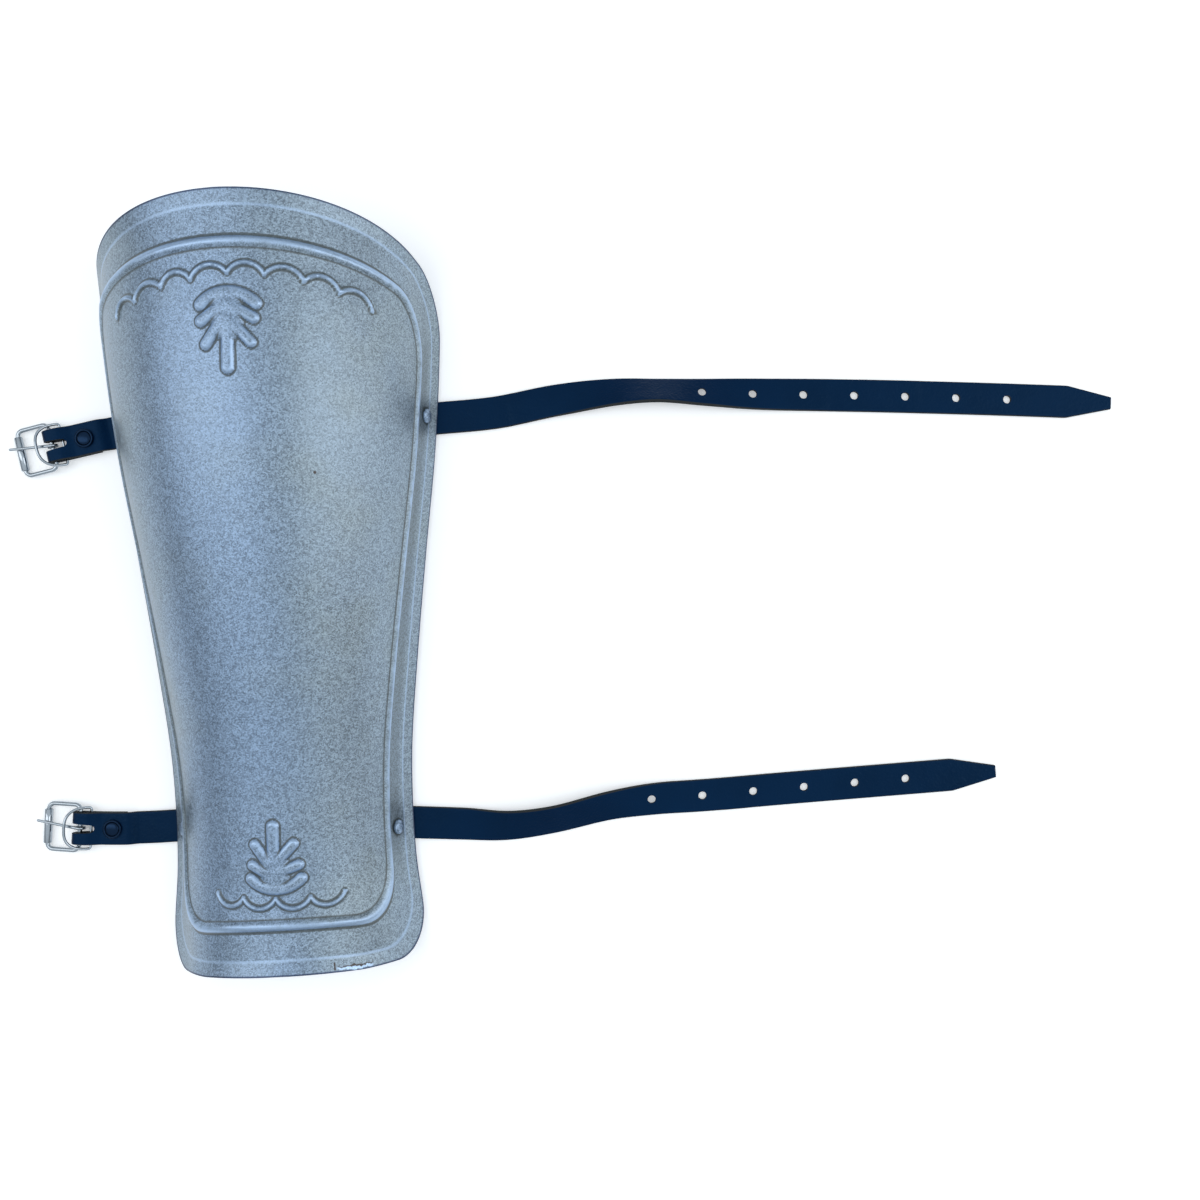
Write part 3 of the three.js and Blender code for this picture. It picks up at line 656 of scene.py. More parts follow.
def plate_mesh(height):
    """The front face as one grid with its relief, the back a wall behind it on every second line,
    and a strip that joins the two round the outline."""
    across_lines, along_lines = plate_lines()
    q, p = np.meshgrid(along_lines, across_lines, indexing="ij")
    across, along, from_edge = blank_to_plate(p, q)
    raised = relief(from_edge) + ornament(across, along, height)
    front = plate_point(across, along, raised)
    rows, columns = p.shape
    keep_rows = np.unique(np.append(np.arange(0, rows, 2), rows - 1))
    keep_columns = np.unique(np.append(np.arange(0, columns, 2), columns - 1))
    back = plate_point(across, along, raised - PLATE_WALL)[np.ix_(keep_rows, keep_columns)]
    start = rows * columns
    back_rows, back_columns = back.shape[:2]
    faces = [
        grid_faces(rows, columns),
        grid_faces(back_rows, back_columns, start)[:, ::-1],
    ]
    index = np.arange(start).reshape(rows, columns)
    behind = start + np.arange(back_rows * back_columns).reshape(back_rows, back_columns)
    sides = [
        (index[0, :], behind[0, :], keep_columns),
        (index[:, -1], behind[:, -1], keep_rows),
        (index[-1, ::-1], behind[-1, ::-1], columns - 1 - keep_columns[::-1]),
        (index[::-1, 0], behind[::-1, 0], rows - 1 - keep_rows[::-1]),
    ]
    for fine, coarse, kept in sides:
        for k in range(len(kept) - 1):
            between = fine[kept[k] : kept[k + 1] + 1]
            faces.append(np.concatenate([between[::-1], [coarse[k], coarse[k + 1]]]))
    points = np.concatenate([front.reshape(-1, 3), back.reshape(-1, 3)])
    pad = np.zeros(back_rows * back_columns)
    marks = {
        "cavity": (cavity_of(across, along, from_edge, height), 0),
        "from_edge": (from_edge, NO_EDGE),
        "across": (across, 0),
        "along": (along, 0),
    }
    layers = {
        layer: np.concatenate([values.ravel(), pad + behind_value])
        for layer, (values, behind_value) in marks.items()
    }
    return new_mesh("greave_plate_stamped", points, faces, layers)


# Rivets


def rivet_seat(side, y, inset):
    """Point and normal of the plain face, so far in from the plate's edge by arc length."""
    half = section(np.array(y))[3]
    across = side * (half - inset)
    return face_point(across, np.array(y)), face_normal(across, np.array(y))


def rivet_place(name, side):
    """A strap's rivet as side, place along (share of the length less a half) and inset."""
    row = STRAP_ROWS[name]
    share = row["right_row"] if side > 0 else row["left_row"]
    return side, (share - 0.5) * PLATE_LENGTH, row["rivet_inset"]


def rivet_mesh(name, seat):
    """A washer inside, a shank and a low round head: the head is a quarter ellipse over a short
    upright rim."""
    head, washer = RIVET_HEAD_DIAMETER / 2, RIVET_WASHER_DIAMETER / 2
    shank = RIVET_SHANK_DIAMETER / 2
    tail = -(PLATE_WALL + GAP + STRAP_THICKNESS + SEAT_GAP)
    angle = np.linspace(0, np.pi / 2, 14)
    rim, crown, eased = 0.3, 0.05, 0.2
    rounded = head - (head - crown) * (1 - np.cos(angle))
    dome = np.stack([rounded, SEAT_GAP + rim + (RIVET_HEAD_HEIGHT - rim) * np.sin(angle)], -1)
    dome[-1, 0] = 0
    profile = [
        [0, tail - RIVET_WASHER_HEIGHT],
        [washer - eased, tail - RIVET_WASHER_HEIGHT],
        [washer, tail - RIVET_WASHER_HEIGHT + eased],
        [washer, tail],
        [shank, tail],
        [shank, SEAT_GAP],
        [head, SEAT_GAP],
        *dome.tolist(),
    ]
    points, faces = lathe(profile, *seat)
    zero = np.zeros(len(points))
    layers = {"cavity": zero, "from_edge": zero + NO_EDGE, "across": zero, "along": zero}
    return new_mesh(name, points, faces, layers)


# Leather


def root_stations(side, y, inset):
    """Stations down the inside of a flank from the strap's end, and round a bend under the
    plate's edge on to the floor. Returns places, ways along and ways up."""
    depth = PLATE_WALL + GAP + STRAP_THICKNESS / 2
    top = inset + STRAP_TAIL
    half = float(section(np.array(y))[3])
    normal = face_normal(np.array(side * (half - 1)), np.array(y))
    level = unit(np.array([normal[0], normal[1], 0.0]))
    angle = math.acos(normal[2])
    tangent = STRAP_BEND_RADIUS * math.tan(angle / 2)
    crossing = (STRAP_THICKNESS / 2 - EDGE_LIFT + depth * math.cos(angle)) / math.sin(angle)
    from_edge = np.linspace(top, crossing + tangent, 18)
    across = side * (half - np.maximum(from_edge, 0))
    along_plate = np.full(len(across), y)
    up = face_normal(across, along_plate)
    down = unit(-UP + up * up[:, 2:])
    at = plate_point(across, along_plate, np.full(len(across), -depth))
    edge = face_point(np.array(side * half), np.array(y))
    centre = edge + level * (tangent - crossing * math.cos(angle) - depth * math.sin(angle))
    centre[2] = STRAP_THICKNESS / 2 + STRAP_BEND_RADIUS
    turn = angle * (1 - np.linspace(0, 1, 19))[1:, None]
    bend_up = UP * np.cos(turn) + level * np.sin(turn)
    bend_along = -UP * np.sin(turn) + level * np.cos(turn)
    bend = centre - bend_up * STRAP_BEND_RADIUS
    return (
        np.concatenate([at, bend]),
        np.concatenate([down, bend_along]),
        np.concatenate([up, bend_up]),
    )


def curve_through(knots, samples=6000):
    """A centripetal Catmull-Rom curve through the knots, its ends carried straight on: knot
    spacings are the square roots of the distances, and each piece is the cubic with the slopes
    that they give. Returns places along it and how far along the curve each one is."""
    knots = np.concatenate([[2 * knots[0] - knots[1]], knots, [2 * knots[-1] - knots[-2]]])
    pieces = len(knots) - 3
    t = np.linspace(0, pieces, samples)
    i = np.minimum(t.astype(int), pieces - 1)
    w = (t - i)[:, None]
    p0, p1, p2, p3 = (knots[i + k] for k in range(4))
    d0, d1, d2 = (
        np.sqrt(np.linalg.norm(b - a, axis=1))[:, None]
        for a, b in ((p0, p1), (p1, p2), (p2, p3))
    )
    m1 = ((p1 - p0) / d0 - (p2 - p0) / (d0 + d1) + (p2 - p1) / d1) * d1
    m2 = ((p2 - p1) / d1 - (p3 - p1) / (d1 + d2) + (p3 - p2) / d2) * d1
    at = (
        p1
        + m1 * w
        + (-3 * p1 + 3 * p2 - 2 * m1 - m2) * w**2
        + (2 * p1 - 2 * p2 + m1 + m2) * w**3
    )
    gone = np.concatenate([[0], np.cumsum(np.linalg.norm(np.diff(at, axis=0), axis=1))])
    return at, gone


def point_along(curve, distance):
    """The place and the way along of a sampled curve, so far along it."""
    at, gone = curve
    here, before, after = (
        np.stack([np.interp(d, gone, at[:, k]) for k in range(3)], -1)
        for d in (distance, distance - 0.3, distance + 0.3)
    )
    return here, unit(after - before)


def strap_profile(half_widths):
    """A rectangle as wide as each station asks, with quarter circles of STRAP_CORNER at its corners
    and points spread over its top and underside. Returns the profiles, and for each point its
    masks for the top and the underside, which fade out round the corners."""
    flat = STRAP_THICKNESS / 2
    angle = np.linspace(0, np.pi / 2, 5)
    share = np.linspace(-1, 1, 11)[1:-1]
    out, over = np.cos(angle), np.sin(angle)
    corners = [(1, 1, out, over), (-1, 1, -over, out), (-1, -1, -out, -over), (1, -1, over, -out)]
    parts, masks = [], []
    for k, (way, rise, side, up) in enumerate(corners):
        height = rise * (flat - STRAP_CORNER) + STRAP_CORNER * up
        parts.append(np.stack([np.full(5, way), STRAP_CORNER * (side - way), height], -1))
        masks.append(np.clip(np.stack([up, -up], -1) * 4 - 3, 0, 1))
        if k in (0, 2):
            level = np.full(len(share), rise * flat)
            parts.append(np.stack([share[::-way], 0 * share, level], -1))
            masks.append(np.tile([float(rise > 0), float(rise < 0)], (len(share), 1)))
    base, mask = np.concatenate(parts), np.concatenate(masks)
    widths = np.asarray(half_widths)[:, None]
    heights = np.broadcast_to(base[:, 2], (len(widths), len(base)))
    return np.stack([base[:, 0] * widths + base[:, 1], heights], -1), mask


def strap_mesh(name, at, along, up, half_widths, cutters):
    """The strap's profile carried along its stations, less the cutters."""
    profile, mask = strap_profile(half_widths)
    points, faces = sweep(at, np.cross(along, up), up, profile)
    masks = np.tile(mask, (len(at), 1))
    mesh = new_mesh(name, points, faces, corner_masks=masks)
    return drilled(mesh, cutters)


def pin_cutter(at, axis, diameter, low, high, sides=28):
    """A plain round pin about a line, from low to high on it."""
    axis = np.asarray(axis, float)
    radius = diameter / 2
    return lathe([[0, low], [radius, low], [radius, high], [0, high]], at, axis, sides)


def long_strap_mesh(name):
    """The strap from its end inside the flank, over the floor along its route, to its tapered
    tip. A twisted stretch rises until its lower edge just clears the floor."""
    row = STRAP_ROWS[name]
    root_at, root_along, root_up = root_stations(*rivet_place(name, 1))
    start = root_at[-1]
    route = np.array(ROUTES[name], float)
    offsets = np.stack([route[:, 0], route[:, 1], 0 * route[:, 0]], -1) * row["reach"]
    curve = curve_through(start + offsets)
    length = curve[1][-1]
    distance = np.linspace(0, length, round(length / 1.2) + 1)[1:]
    at, along = point_along(curve, distance)
    table = np.stack([route[:, 0] * row["reach"], route[:, 2]], -1)
    twist = np.radians(cubic_table(at[:, 0] - start[0], table)[:, 0])
    roll = np.where(np.abs(twist) < math.radians(1), 0, twist)
    half, thick = STRAP_WIDTH / 2, STRAP_THICKNESS / 2
    at[:, 2] += half * np.abs(np.sin(roll)) + thick * (np.cos(roll) - 1)
    up = turned(np.broadcast_to(UP, at.shape), along, roll)
    left = np.minimum(length - distance, TIP_TAPER) / TIP_TAPER
    half_widths = (TIP_WIDTH + (STRAP_WIDTH - TIP_WIDTH) * left) / 2
    places = row["first_hole"] + HOLE_PITCH * np.arange(row["holes"])
    places = places[places < length - TIP_TAPER]
    holes, _ = point_along(curve, places)
    cutters = [pin_cutter(hole, UP, HOLE_DIAMETER, -STRAP_WIDTH / 2, STRAP_WIDTH) for hole in holes]
    return strap_mesh(
        f"{name}_long_strap_leather",
        np.concatenate([root_at, at]),
        np.concatenate([root_along, along]),
        np.concatenate([root_up, up]),
        np.concatenate([np.full(len(root_at), half), half_widths]),
        cutters,
    )


# Buckle heights, and places along the strap measured back from its fold

FOLD_RADIUS = WIRE_DIAMETER / 2 + GAP + STRAP_THICKNESS / 2
PIVOT_HEIGHT = FOLD_RADIUS + STRAP_THICKNESS / 2
PIVOT_FROM_FOLD = PIVOT_HEIGHT
LOW_LAYER = STRAP_THICKNESS / 2
HIGH_LAYER = 1.5 * STRAP_THICKNESS + GAP
ROLLER_RADIUS = WIRE_DIAMETER / 2 + GAP + ROLLER_WALL
FRAME_TILT = math.asin((PIVOT_HEIGHT - ROLLER_RADIUS) / FRAME_LENGTH)


class BucklePlan:
    """The buckle strap's line on the floor: the quadratic curve from the plate's edge to the fold
    with its middle knot on the way straight out."""

    def __init__(self, name):
        row = STRAP_ROWS[name]
        self.root = root_stations(*rivet_place(name, -1))
        start = self.root[0][-1]
        heading = row["buckle_heading"]
        ending = heading + row["buckle_turn"]
        half = row["buckle_reach"] / 2
        elbow = start + half * np.array([math.cos(heading), math.sin(heading), 0])
        end = elbow + half * np.array([math.cos(ending), math.sin(ending), 0])
        t = np.linspace(0, 1, 4000)[:, None]
        at = (1 - t) ** 2 * start + 2 * t * (1 - t) * elbow + t**2 * end
        gone = np.concatenate([[0], np.cumsum(np.linalg.norm(np.diff(at, axis=0), axis=1))])
        slope = unit(2 * (1 - t) * (elbow - start) + 2 * t * (end - elbow))
        self.at, self.gone, self.slope, self.length = at, gone, slope, gone[-1]

    def place(self, back):
        """The floor point and the way along so far back from the fold."""
        d = self.length - np.asarray(back, float)
        at = np.stack([np.interp(d, self.gone, self.at[:, k]) for k in range(3)], -1)
        along = np.stack([np.interp(d, self.gone, self.slope[:, k]) for k in range(3)], -1)
        at[..., 2] = 0
        return at, unit(along)

    def placed(self, local, back, height, tilt=0.0, shift=0.0):
        """Local points with +X along the strap, tilted about Y, set so far back and so high."""
        x, y, z = np.moveaxis(np.asarray(local, float), -1, 0)
        x, z = (
            x * math.cos(tilt) + z * math.sin(tilt) + shift * math.cos(tilt),
            z * math.cos(tilt) - x * math.sin(tilt) - shift * math.sin(tilt),
        )
        at, along = self.place(back)
        side = np.cross(UP, along)
        return at + x[..., None] * along + y[..., None] * side + (z + height)[..., None] * UP


def buckle_strap_mesh(name, plan):
    """From the flank over the floor, up on to its own folded end, round the heel bar and back
    underneath, with a slot at the fold for the tongue."""
    rise_end = FOLD_UNDERLAP + FOLD_CLEARANCE
    rise_start = rise_end + FOLD_RISE_RUN
    cap_edge = CAP_FROM_FOLD - CAP_DIAMETER / 2 - 0.5
    heel_start = PIVOT_FROM_FOLD + HEEL_RISE_REACH

    def height_at(back):
        return (
            LOW_LAYER
            + (HIGH_LAYER - LOW_LAYER) * (1 - smoothstep(back, rise_end, rise_start))
            + (PIVOT_HEIGHT + FOLD_RADIUS - HIGH_LAYER)
            * (1 - smoothstep(back, heel_start, cap_edge))
        )

    over = np.linspace(plan.length, PIVOT_FROM_FOLD, round(plan.length / 0.7) + 1)[1:]
    slope = np.arctan((height_at(over - 0.05) - height_at(over + 0.05)) / 0.1)
    angle = np.linspace(0, np.pi, 31)[1:]
    round_back = PIVOT_FROM_FOLD - FOLD_RADIUS * np.sin(angle)
    round_height = PIVOT_HEIGHT + FOLD_RADIUS * np.cos(angle)
    under = np.linspace(PIVOT_FROM_FOLD, FOLD_UNDERLAP, 24)[1:]
    back = np.concatenate([over, round_back, under])
    height = np.concatenate([height_at(over), round_height, np.full(len(under), LOW_LAYER)])
    slopes = np.concatenate([slope, -angle, np.full(len(under), -np.pi)])[:, None]
    at, ahead = plan.place(back)
    at[:, 2] = height
    along = ahead * np.cos(slopes) + UP * np.sin(slopes)
    up = UP * np.cos(slopes) - ahead * np.sin(slopes)
    root_at, root_along, root_up = plan.root
    slot_end = PIVOT_FROM_FOLD + SLOT_REACH
    middle, heading = plan.place(slot_end / 2)
    side = np.cross(UP, heading)
    half = SLOT_WIDTH / 2
    turn = np.linspace(-np.pi / 2, np.pi / 2, 16)
    outline = np.concatenate(
        [
            np.stack([-(slot_end / 2 - half) - half * np.cos(turn), half * np.sin(turn)], -1),
            [[slot_end, half * 1.5], [slot_end, -half * 1.5]],
        ]
    )
    path = middle + UP * np.array([[-4.0], [4 * PIVOT_HEIGHT]])
    two = np.ones((2, 1))
    cutter = sweep(path, two * heading, two * side, outline)
    return strap_mesh(
        f"{name}_buckle_strap_leather",
        np.concatenate([root_at, at]),
        np.concatenate([root_along, along]),
        np.concatenate([root_up, up]),
        np.full(len(root_at) + len(at), STRAP_WIDTH / 2),
        [cutter],
    )


def cap_rivet_mesh(name, plan):
    """A washer under the strap, a shank and a flat round cap: a rolled rim, a shallow groove and
    a low dome inside it."""
    shank, washer, cap = RIVET_SHANK_DIAMETER / 2, RIVET_WASHER_DIAMETER / 2, CAP_DIAMETER / 2
    low = SEAT_GAP / 2
    seat = HIGH_LAYER + STRAP_THICKNESS / 2 + SEAT_GAP
    roll, dome_foot = 0.62, 0.75
    turn = np.linspace(-0.5, 0.9, 12) * np.pi
    rim = np.stack(
        [cap - roll + roll * np.cos(turn), seat + roll * (1 + np.sin(turn))], -1
    )
    dome_edge = cap - 2.1 * roll
    angle = np.linspace(0, np.pi / 2, 12)
    dome = np.stack(
        [dome_edge * np.cos(angle), seat + dome_foot + (CAP_HEIGHT - dome_foot) * np.sin(angle)],
        -1,
    )
    dome[-1, 0] = 0
    profile = [
        [0, low],
        [washer, low],
        [washer, RIVET_WASHER_HEIGHT - low],
        [shank, RIVET_WASHER_HEIGHT - low],
        [shank, seat],
        *rim.tolist(),
        *dome.tolist(),
    ]
    at, _ = plan.place(CAP_FROM_FOLD)
    points, faces = lathe(profile, at, UP)
    return new_mesh(f"{name}_cap_rivet_dome", points, faces)


# Buckle pieces: local zero is the middle of the heel bar, +X points away from the plate


def wire_loop(outline, diameter, sides=16):
    """Round wire along a closed flat outline of (x, y) points. Returns local points and faces."""
    path = np.concatenate([outline, np.zeros((len(outline), 1))], -1)
    along = unit(np.roll(path, -1, 0) - np.roll(path, 1, 0))
    side = np.cross(along, UP)
    up = np.broadcast_to(UP, path.shape)
    return sweep(path, side, up, circle(diameter, sides), closed=True)


def frame_outline():
    """A rectangle of FRAME_LENGTH between bar middles with corners of radius FRAME_CORNER."""
    half = (FRAME_WIDTH - WIRE_DIAMETER) / 2
    angle = np.linspace(0, np.pi / 2, 9)
    corners = []
    for k, (x, y) in enumerate(((1, 1), (-1, 1), (-1, -1), (1, -1))):
        middle_x = FRAME_LENGTH / 2 + x * (FRAME_LENGTH / 2 - FRAME_CORNER)
        middle_y = y * (half - FRAME_CORNER)
        turn = angle + k * np.pi / 2
        x_out, y_out = FRAME_CORNER * np.cos(turn), FRAME_CORNER * np.sin(turn)
        corners.append(np.stack([middle_x + x_out, middle_y + y_out], -1))
    return np.concatenate(corners)


def keeper_outline():
    """A straight bar, then a bow that is half a superellipse: depth cos^f and half width sin^f of
    an angle, with f below 1 to fill its corners."""
    half = (KEEPER_WIDTH - KEEPER_WIRE) / 2
    depth = KEEPER_DEPTH - KEEPER_WIRE
    corner, fullness = KEEPER_CORNER, KEEPER_FULLNESS
    angle = np.linspace(-np.pi / 2, np.pi / 2, 49)
    forward = np.maximum(0, np.cos(angle)) ** fullness
    aside = np.sign(angle) * np.abs(np.sin(angle)) ** fullness
    bow = np.stack([corner + (depth - corner) * forward, half * aside], -1)
    turn = np.linspace(0.1, 0.9, 5) * np.pi / 2
    low = np.stack([corner * (1 - np.sin(turn)), corner - half - corner * np.cos(turn)], -1)
    return np.concatenate([bow, (low * [1, -1]), low[::-1]])


def roller_solid():
    """A rolled sleeve on the far bar: a C section with a narrow seam underneath, its ends eased.
    Returns local points and faces about the bar's own middle."""
    inner = WIRE_DIAMETER / 2 + GAP
    half = (FRAME_WIDTH - WIRE_DIAMETER) / 2 - FRAME_CORNER
    ease = 0.15
    seam = ROLLER_SEAM / 2
    turn = np.linspace(-np.pi / 2 + seam, 1.5 * np.pi - seam, 49)
    stations = np.array([[-half, ease], [-half + ease, 0], [half - ease, 0], [half, ease]])
    outer = ROLLER_RADIUS - stations[:, 1, None]
    ring = np.stack([np.cos(turn), np.sin(turn)], -1)
    outside = outer[..., None] * ring
    inside = (inner + stations[:, 1, None, None] * 0.3) * ring[::-1]
    loop = np.concatenate([outside, inside], 1)
    path = np.stack([0 * stations[:, 0], stations[:, 0], 0 * stations[:, 0]], -1)
    count = np.ones((len(path), 1))
    return sweep(path, count * [1.0, 0, 0], count * UP, loop)


def tongue_solid():
    """Wire wrapped round the heel bar and on over the roller: the wrap is an arc, the rod a
    straight run that drops to rest on the roller, thins to its tip and is flattened near the
    bar."""
    ring_radius = WIRE_DIAMETER / 2 + GAP + TONGUE_DIAMETER / 2
    turn = np.radians(np.linspace(*TONGUE_WRAP, 40))
    wrap = np.stack([ring_radius * np.cos(turn), 0 * turn, ring_radius * np.sin(turn)], -1)
    over_roller = 2 * ROLLER_RADIUS - PIVOT_HEIGHT + TONGUE_DIAMETER / 2 + SEAT_GAP
    fall = (ring_radius - over_roller) / (FRAME_LENGTH * math.cos(FRAME_TILT))
    run = np.linspace(0, FRAME_LENGTH + TONGUE_OVERHANG, 60)
    ahead, aside = math.cos(TONGUE_SKEW), math.sin(TONGUE_SKEW)
    rod = np.stack([run * ahead, run * aside, ring_radius - run * fall], -1)
    path = np.concatenate([wrap, rod])
    along = unit(np.gradient(path, axis=0))
    side = unit(np.cross(along, np.array([0.0, 1.0, 0.0]) + 0 * along))
    sideways = np.cross(side, along)
    gone = np.concatenate([np.full(len(wrap), -1.0), run])
    total = run[-1]
    flat = np.exp(-(((gone - TONGUE_FLAT_AT) / TONGUE_FLAT_SPREAD) ** 2))
    thin = 1 - 0.1 * np.clip(gone / total, 0, 1)
    tip = np.sqrt(np.clip(1 - np.clip((gone - total + 0.5) / 0.52, 0, 1) ** 2, 0.02, 1))
    width = thin * tip * (1 + TONGUE_WIDER * flat)
    thickness = thin * tip * (1 - TONGUE_THINNER * flat)
    base = circle(TONGUE_DIAMETER, 14)
    profile = base[None] * np.stack([width, thickness], -1)[:, None, :]
    return sweep(path, sideways, side, profile)


# Materials


def add_node(tree, kind, inputs=None, **settings):
    """A shader node with its settings, and its inputs as values or as other nodes' outputs."""
    made = tree.nodes.new(kind)
    for key, value in settings.items():
        setattr(made, key, value)
    for key, value in (inputs or {}).items():
        if isinstance(value, bpy.types.NodeSocket):
            tree.links.new(value, made.inputs[key])
        else:
            made.inputs[key].default_value = value
    return made


def maths(tree, operation, a, b=0.0):
    """One step of arithmetic on numbers or other nodes' outputs."""
    inputs = {0: a, 1: b}
    return add_node(tree, "ShaderNodeMath", inputs, operation=operation).outputs[0]


def mixed(tree, share, a, b):
    """Colours a and b mixed by share."""
    inputs = {0: share, 6: a, 7: b}
    return add_node(tree, "ShaderNodeMix", inputs, data_type="RGBA").outputs[2]


def stepped(tree, value, low, high, start=0.0, end=1.0):
    """value carried from low..high to start..end, smoothly and held at the ends."""
    inputs = {0: value, 1: low, 2: high, 3: start, 4: end}
    made = add_node(tree, "ShaderNodeMapRange", inputs, interpolation_type="SMOOTHSTEP")
    return made.outputs[0]


def noise(tree, vector, scale, detail=2.0, roughness=0.5):
    """Soft noise about 0.5, its scale in cells for each metre."""
    inputs = {"Vector": vector, "Scale": scale, "Detail": detail, "Roughness": roughness}
    return add_node(tree, "ShaderNodeTexNoise", inputs).outputs[0]


def new_group(name, inputs, outputs):
    """An empty shader node group with (name, default) inputs and named float outputs."""
    group = bpy.data.node_groups.new(name, "ShaderNodeTree")
    for socket, default in inputs:
        kind = "NodeSocketVector" if default is None else "NodeSocketFloat"
        made = group.interface.new_socket(socket, in_out="INPUT", socket_type=kind)
        if default is not None:
            made.default_value = default
    for socket in outputs:
        group.interface.new_socket(socket, in_out="OUTPUT", socket_type="NodeSocketFloat")
    return group, group.nodes.new("NodeGroupInput"), group.nodes.new("NodeGroupOutput")


def grain_group():
    """Fine grain: Fleck is a speckle of cells, Cloud a slow change over centimetres, and Height
    the two levels of noise that roughen a surface."""
    group, given, result = new_group(
        "Fine grain", [("Vector", None), ("Size", 0.0007)], ["Fleck", "Cloud", "Height"]
    )
    scale = maths(group, "DIVIDE", 1.0, given.outputs["Size"])
    cells = add_node(
        group, "ShaderNodeTexVoronoi", {"Vector": given.outputs["Vector"], "Scale": scale}
    )
    fleck = add_node(group, "ShaderNodeSeparateColor", {0: cells.outputs["Color"]}).outputs[0]
    fine = noise(group, given.outputs["Vector"], scale, 3.0, 0.65)
    cloud = noise(group, given.outputs["Vector"], 22.0, 3.0, 0.55)
    group.links.new(fleck, result.inputs["Fleck"])
    group.links.new(cloud, result.inputs["Cloud"])
    group.links.new(fine, result.inputs["Height"])
    return group


def wear_and_light_group():
    """Grooves and ridges: dirt and painted shade gather where Cavity is positive, rubbed paint and
    painted highlights show where it is negative, and both are broken up by a noise."""
    group, given, result = new_group(
        "Groove dirt and shade", [("Vector", None), ("Cavity", 0.0)], ["Dirt and shade", "Rub and highlight"]
    )
    patchy = noise(group, given.outputs["Vector"], 260.0, 3.0)
    lifted = maths(group, "MULTIPLY", maths(group, "SUBTRACT", patchy, 0.5), 0.07)
    cavity = maths(group, "ADD", given.outputs["Cavity"], lifted)
    group.links.new(stepped(group, cavity, 0.015, 0.1), result.inputs["Dirt and shade"])
    group.links.new(stepped(group, cavity, -0.02, -0.09), result.inputs["Rub and highlight"])
    return group


def chips_group():
    """Damage at the ankle's rim: Crack is a short split across it and a ragged line along it, and
    Flake the lifted paint beside that line. A dot on the panel counts as a crack."""
    group, given, result = new_group(
        "Rim chips",
        [("Vector", None), ("From edge", 30.0), ("Across", 0.0), ("Along", 0.0)],
        ["Crack", "Flake"],
    )
    edge, across, along = (given.outputs[k] for k in ("From edge", "Across", "Along"))
    wobble = maths(group, "SUBTRACT", noise(group, given.outputs["Vector"], 300.0, 4.0, 0.7), 0.5)
    ankle = stepped(group, along, *CHIP_ROWS)

    def inside(value, low, high, soft):
        rise = stepped(group, value, low - soft, low + soft)
        return maths(group, "MULTIPLY", rise, stepped(group, value, high + soft, high - soft))

    line_at = maths(group, "ADD", edge, maths(group, "MULTIPLY", wobble, 3.6))
    stretch = inside(across, *CHIP_STRETCH, 1.5)
    line = maths(group, "MULTIPLY", inside(line_at, 1.75, 2.25, 0.2), stretch)
    split_at = maths(group, "ADD", across, maths(group, "MULTIPLY", wobble, 1.5))
    split = inside(split_at, *CHIP_SPLIT, 0.2)
    split = maths(group, "MULTIPLY", split, inside(edge, 0.8, 3.8, 0.3))
    off_dot = add_node(
        group,
        "ShaderNodeVectorMath",
        {
            0: add_node(group, "ShaderNodeCombineXYZ", {0: across, 1: along}).outputs[0],
            1: DOT_PLACE,
        },
        operation="DISTANCE",
    )
    dot = stepped(group, off_dot.outputs["Value"], 0.9, 0.5)
    crack = maths(group, "MULTIPLY", maths(group, "MAXIMUM", line, split), ankle)
    group.links.new(maths(group, "MAXIMUM", crack, dot), result.inputs["Crack"])
    flake = maths(group, "MULTIPLY", inside(line_at, 0.8, 1.5, 0.3), stretch)
    group.links.new(maths(group, "MULTIPLY", flake, ankle), result.inputs["Flake"])
    return group


def use_group(tree, group, inputs):
    """A shared group's node in a material."""
    return add_node(tree, "ShaderNodeGroup", inputs, node_tree=group)


def new_material(name):
    """A material with nodes, its tree, its Principled shader and its Object coordinates."""
    material = bpy.data.materials.new(name)
    material.use_nodes = True
    tree = material.node_tree
    shader = tree.nodes["Principled BSDF"]
    place = tree.nodes.new("ShaderNodeTexCoord").outputs["Object"]
    return material, tree, shader, place


def attribute(tree, name):
    """A number that the mesh holds for each of its points."""
    return add_node(tree, "ShaderNodeAttribute", attribute_name=name).outputs["Fac"]


def shared_group(name, make):
    """The group of that name, made when it is first asked for."""
    return bpy.data.node_groups.get(name) or make()


def opaque(colour, share=1.0):
    """A colour made darker or paler by a share, with full alpha."""
    return (colour[0] * share, colour[1] * share, colour[2] * share, 1.0)


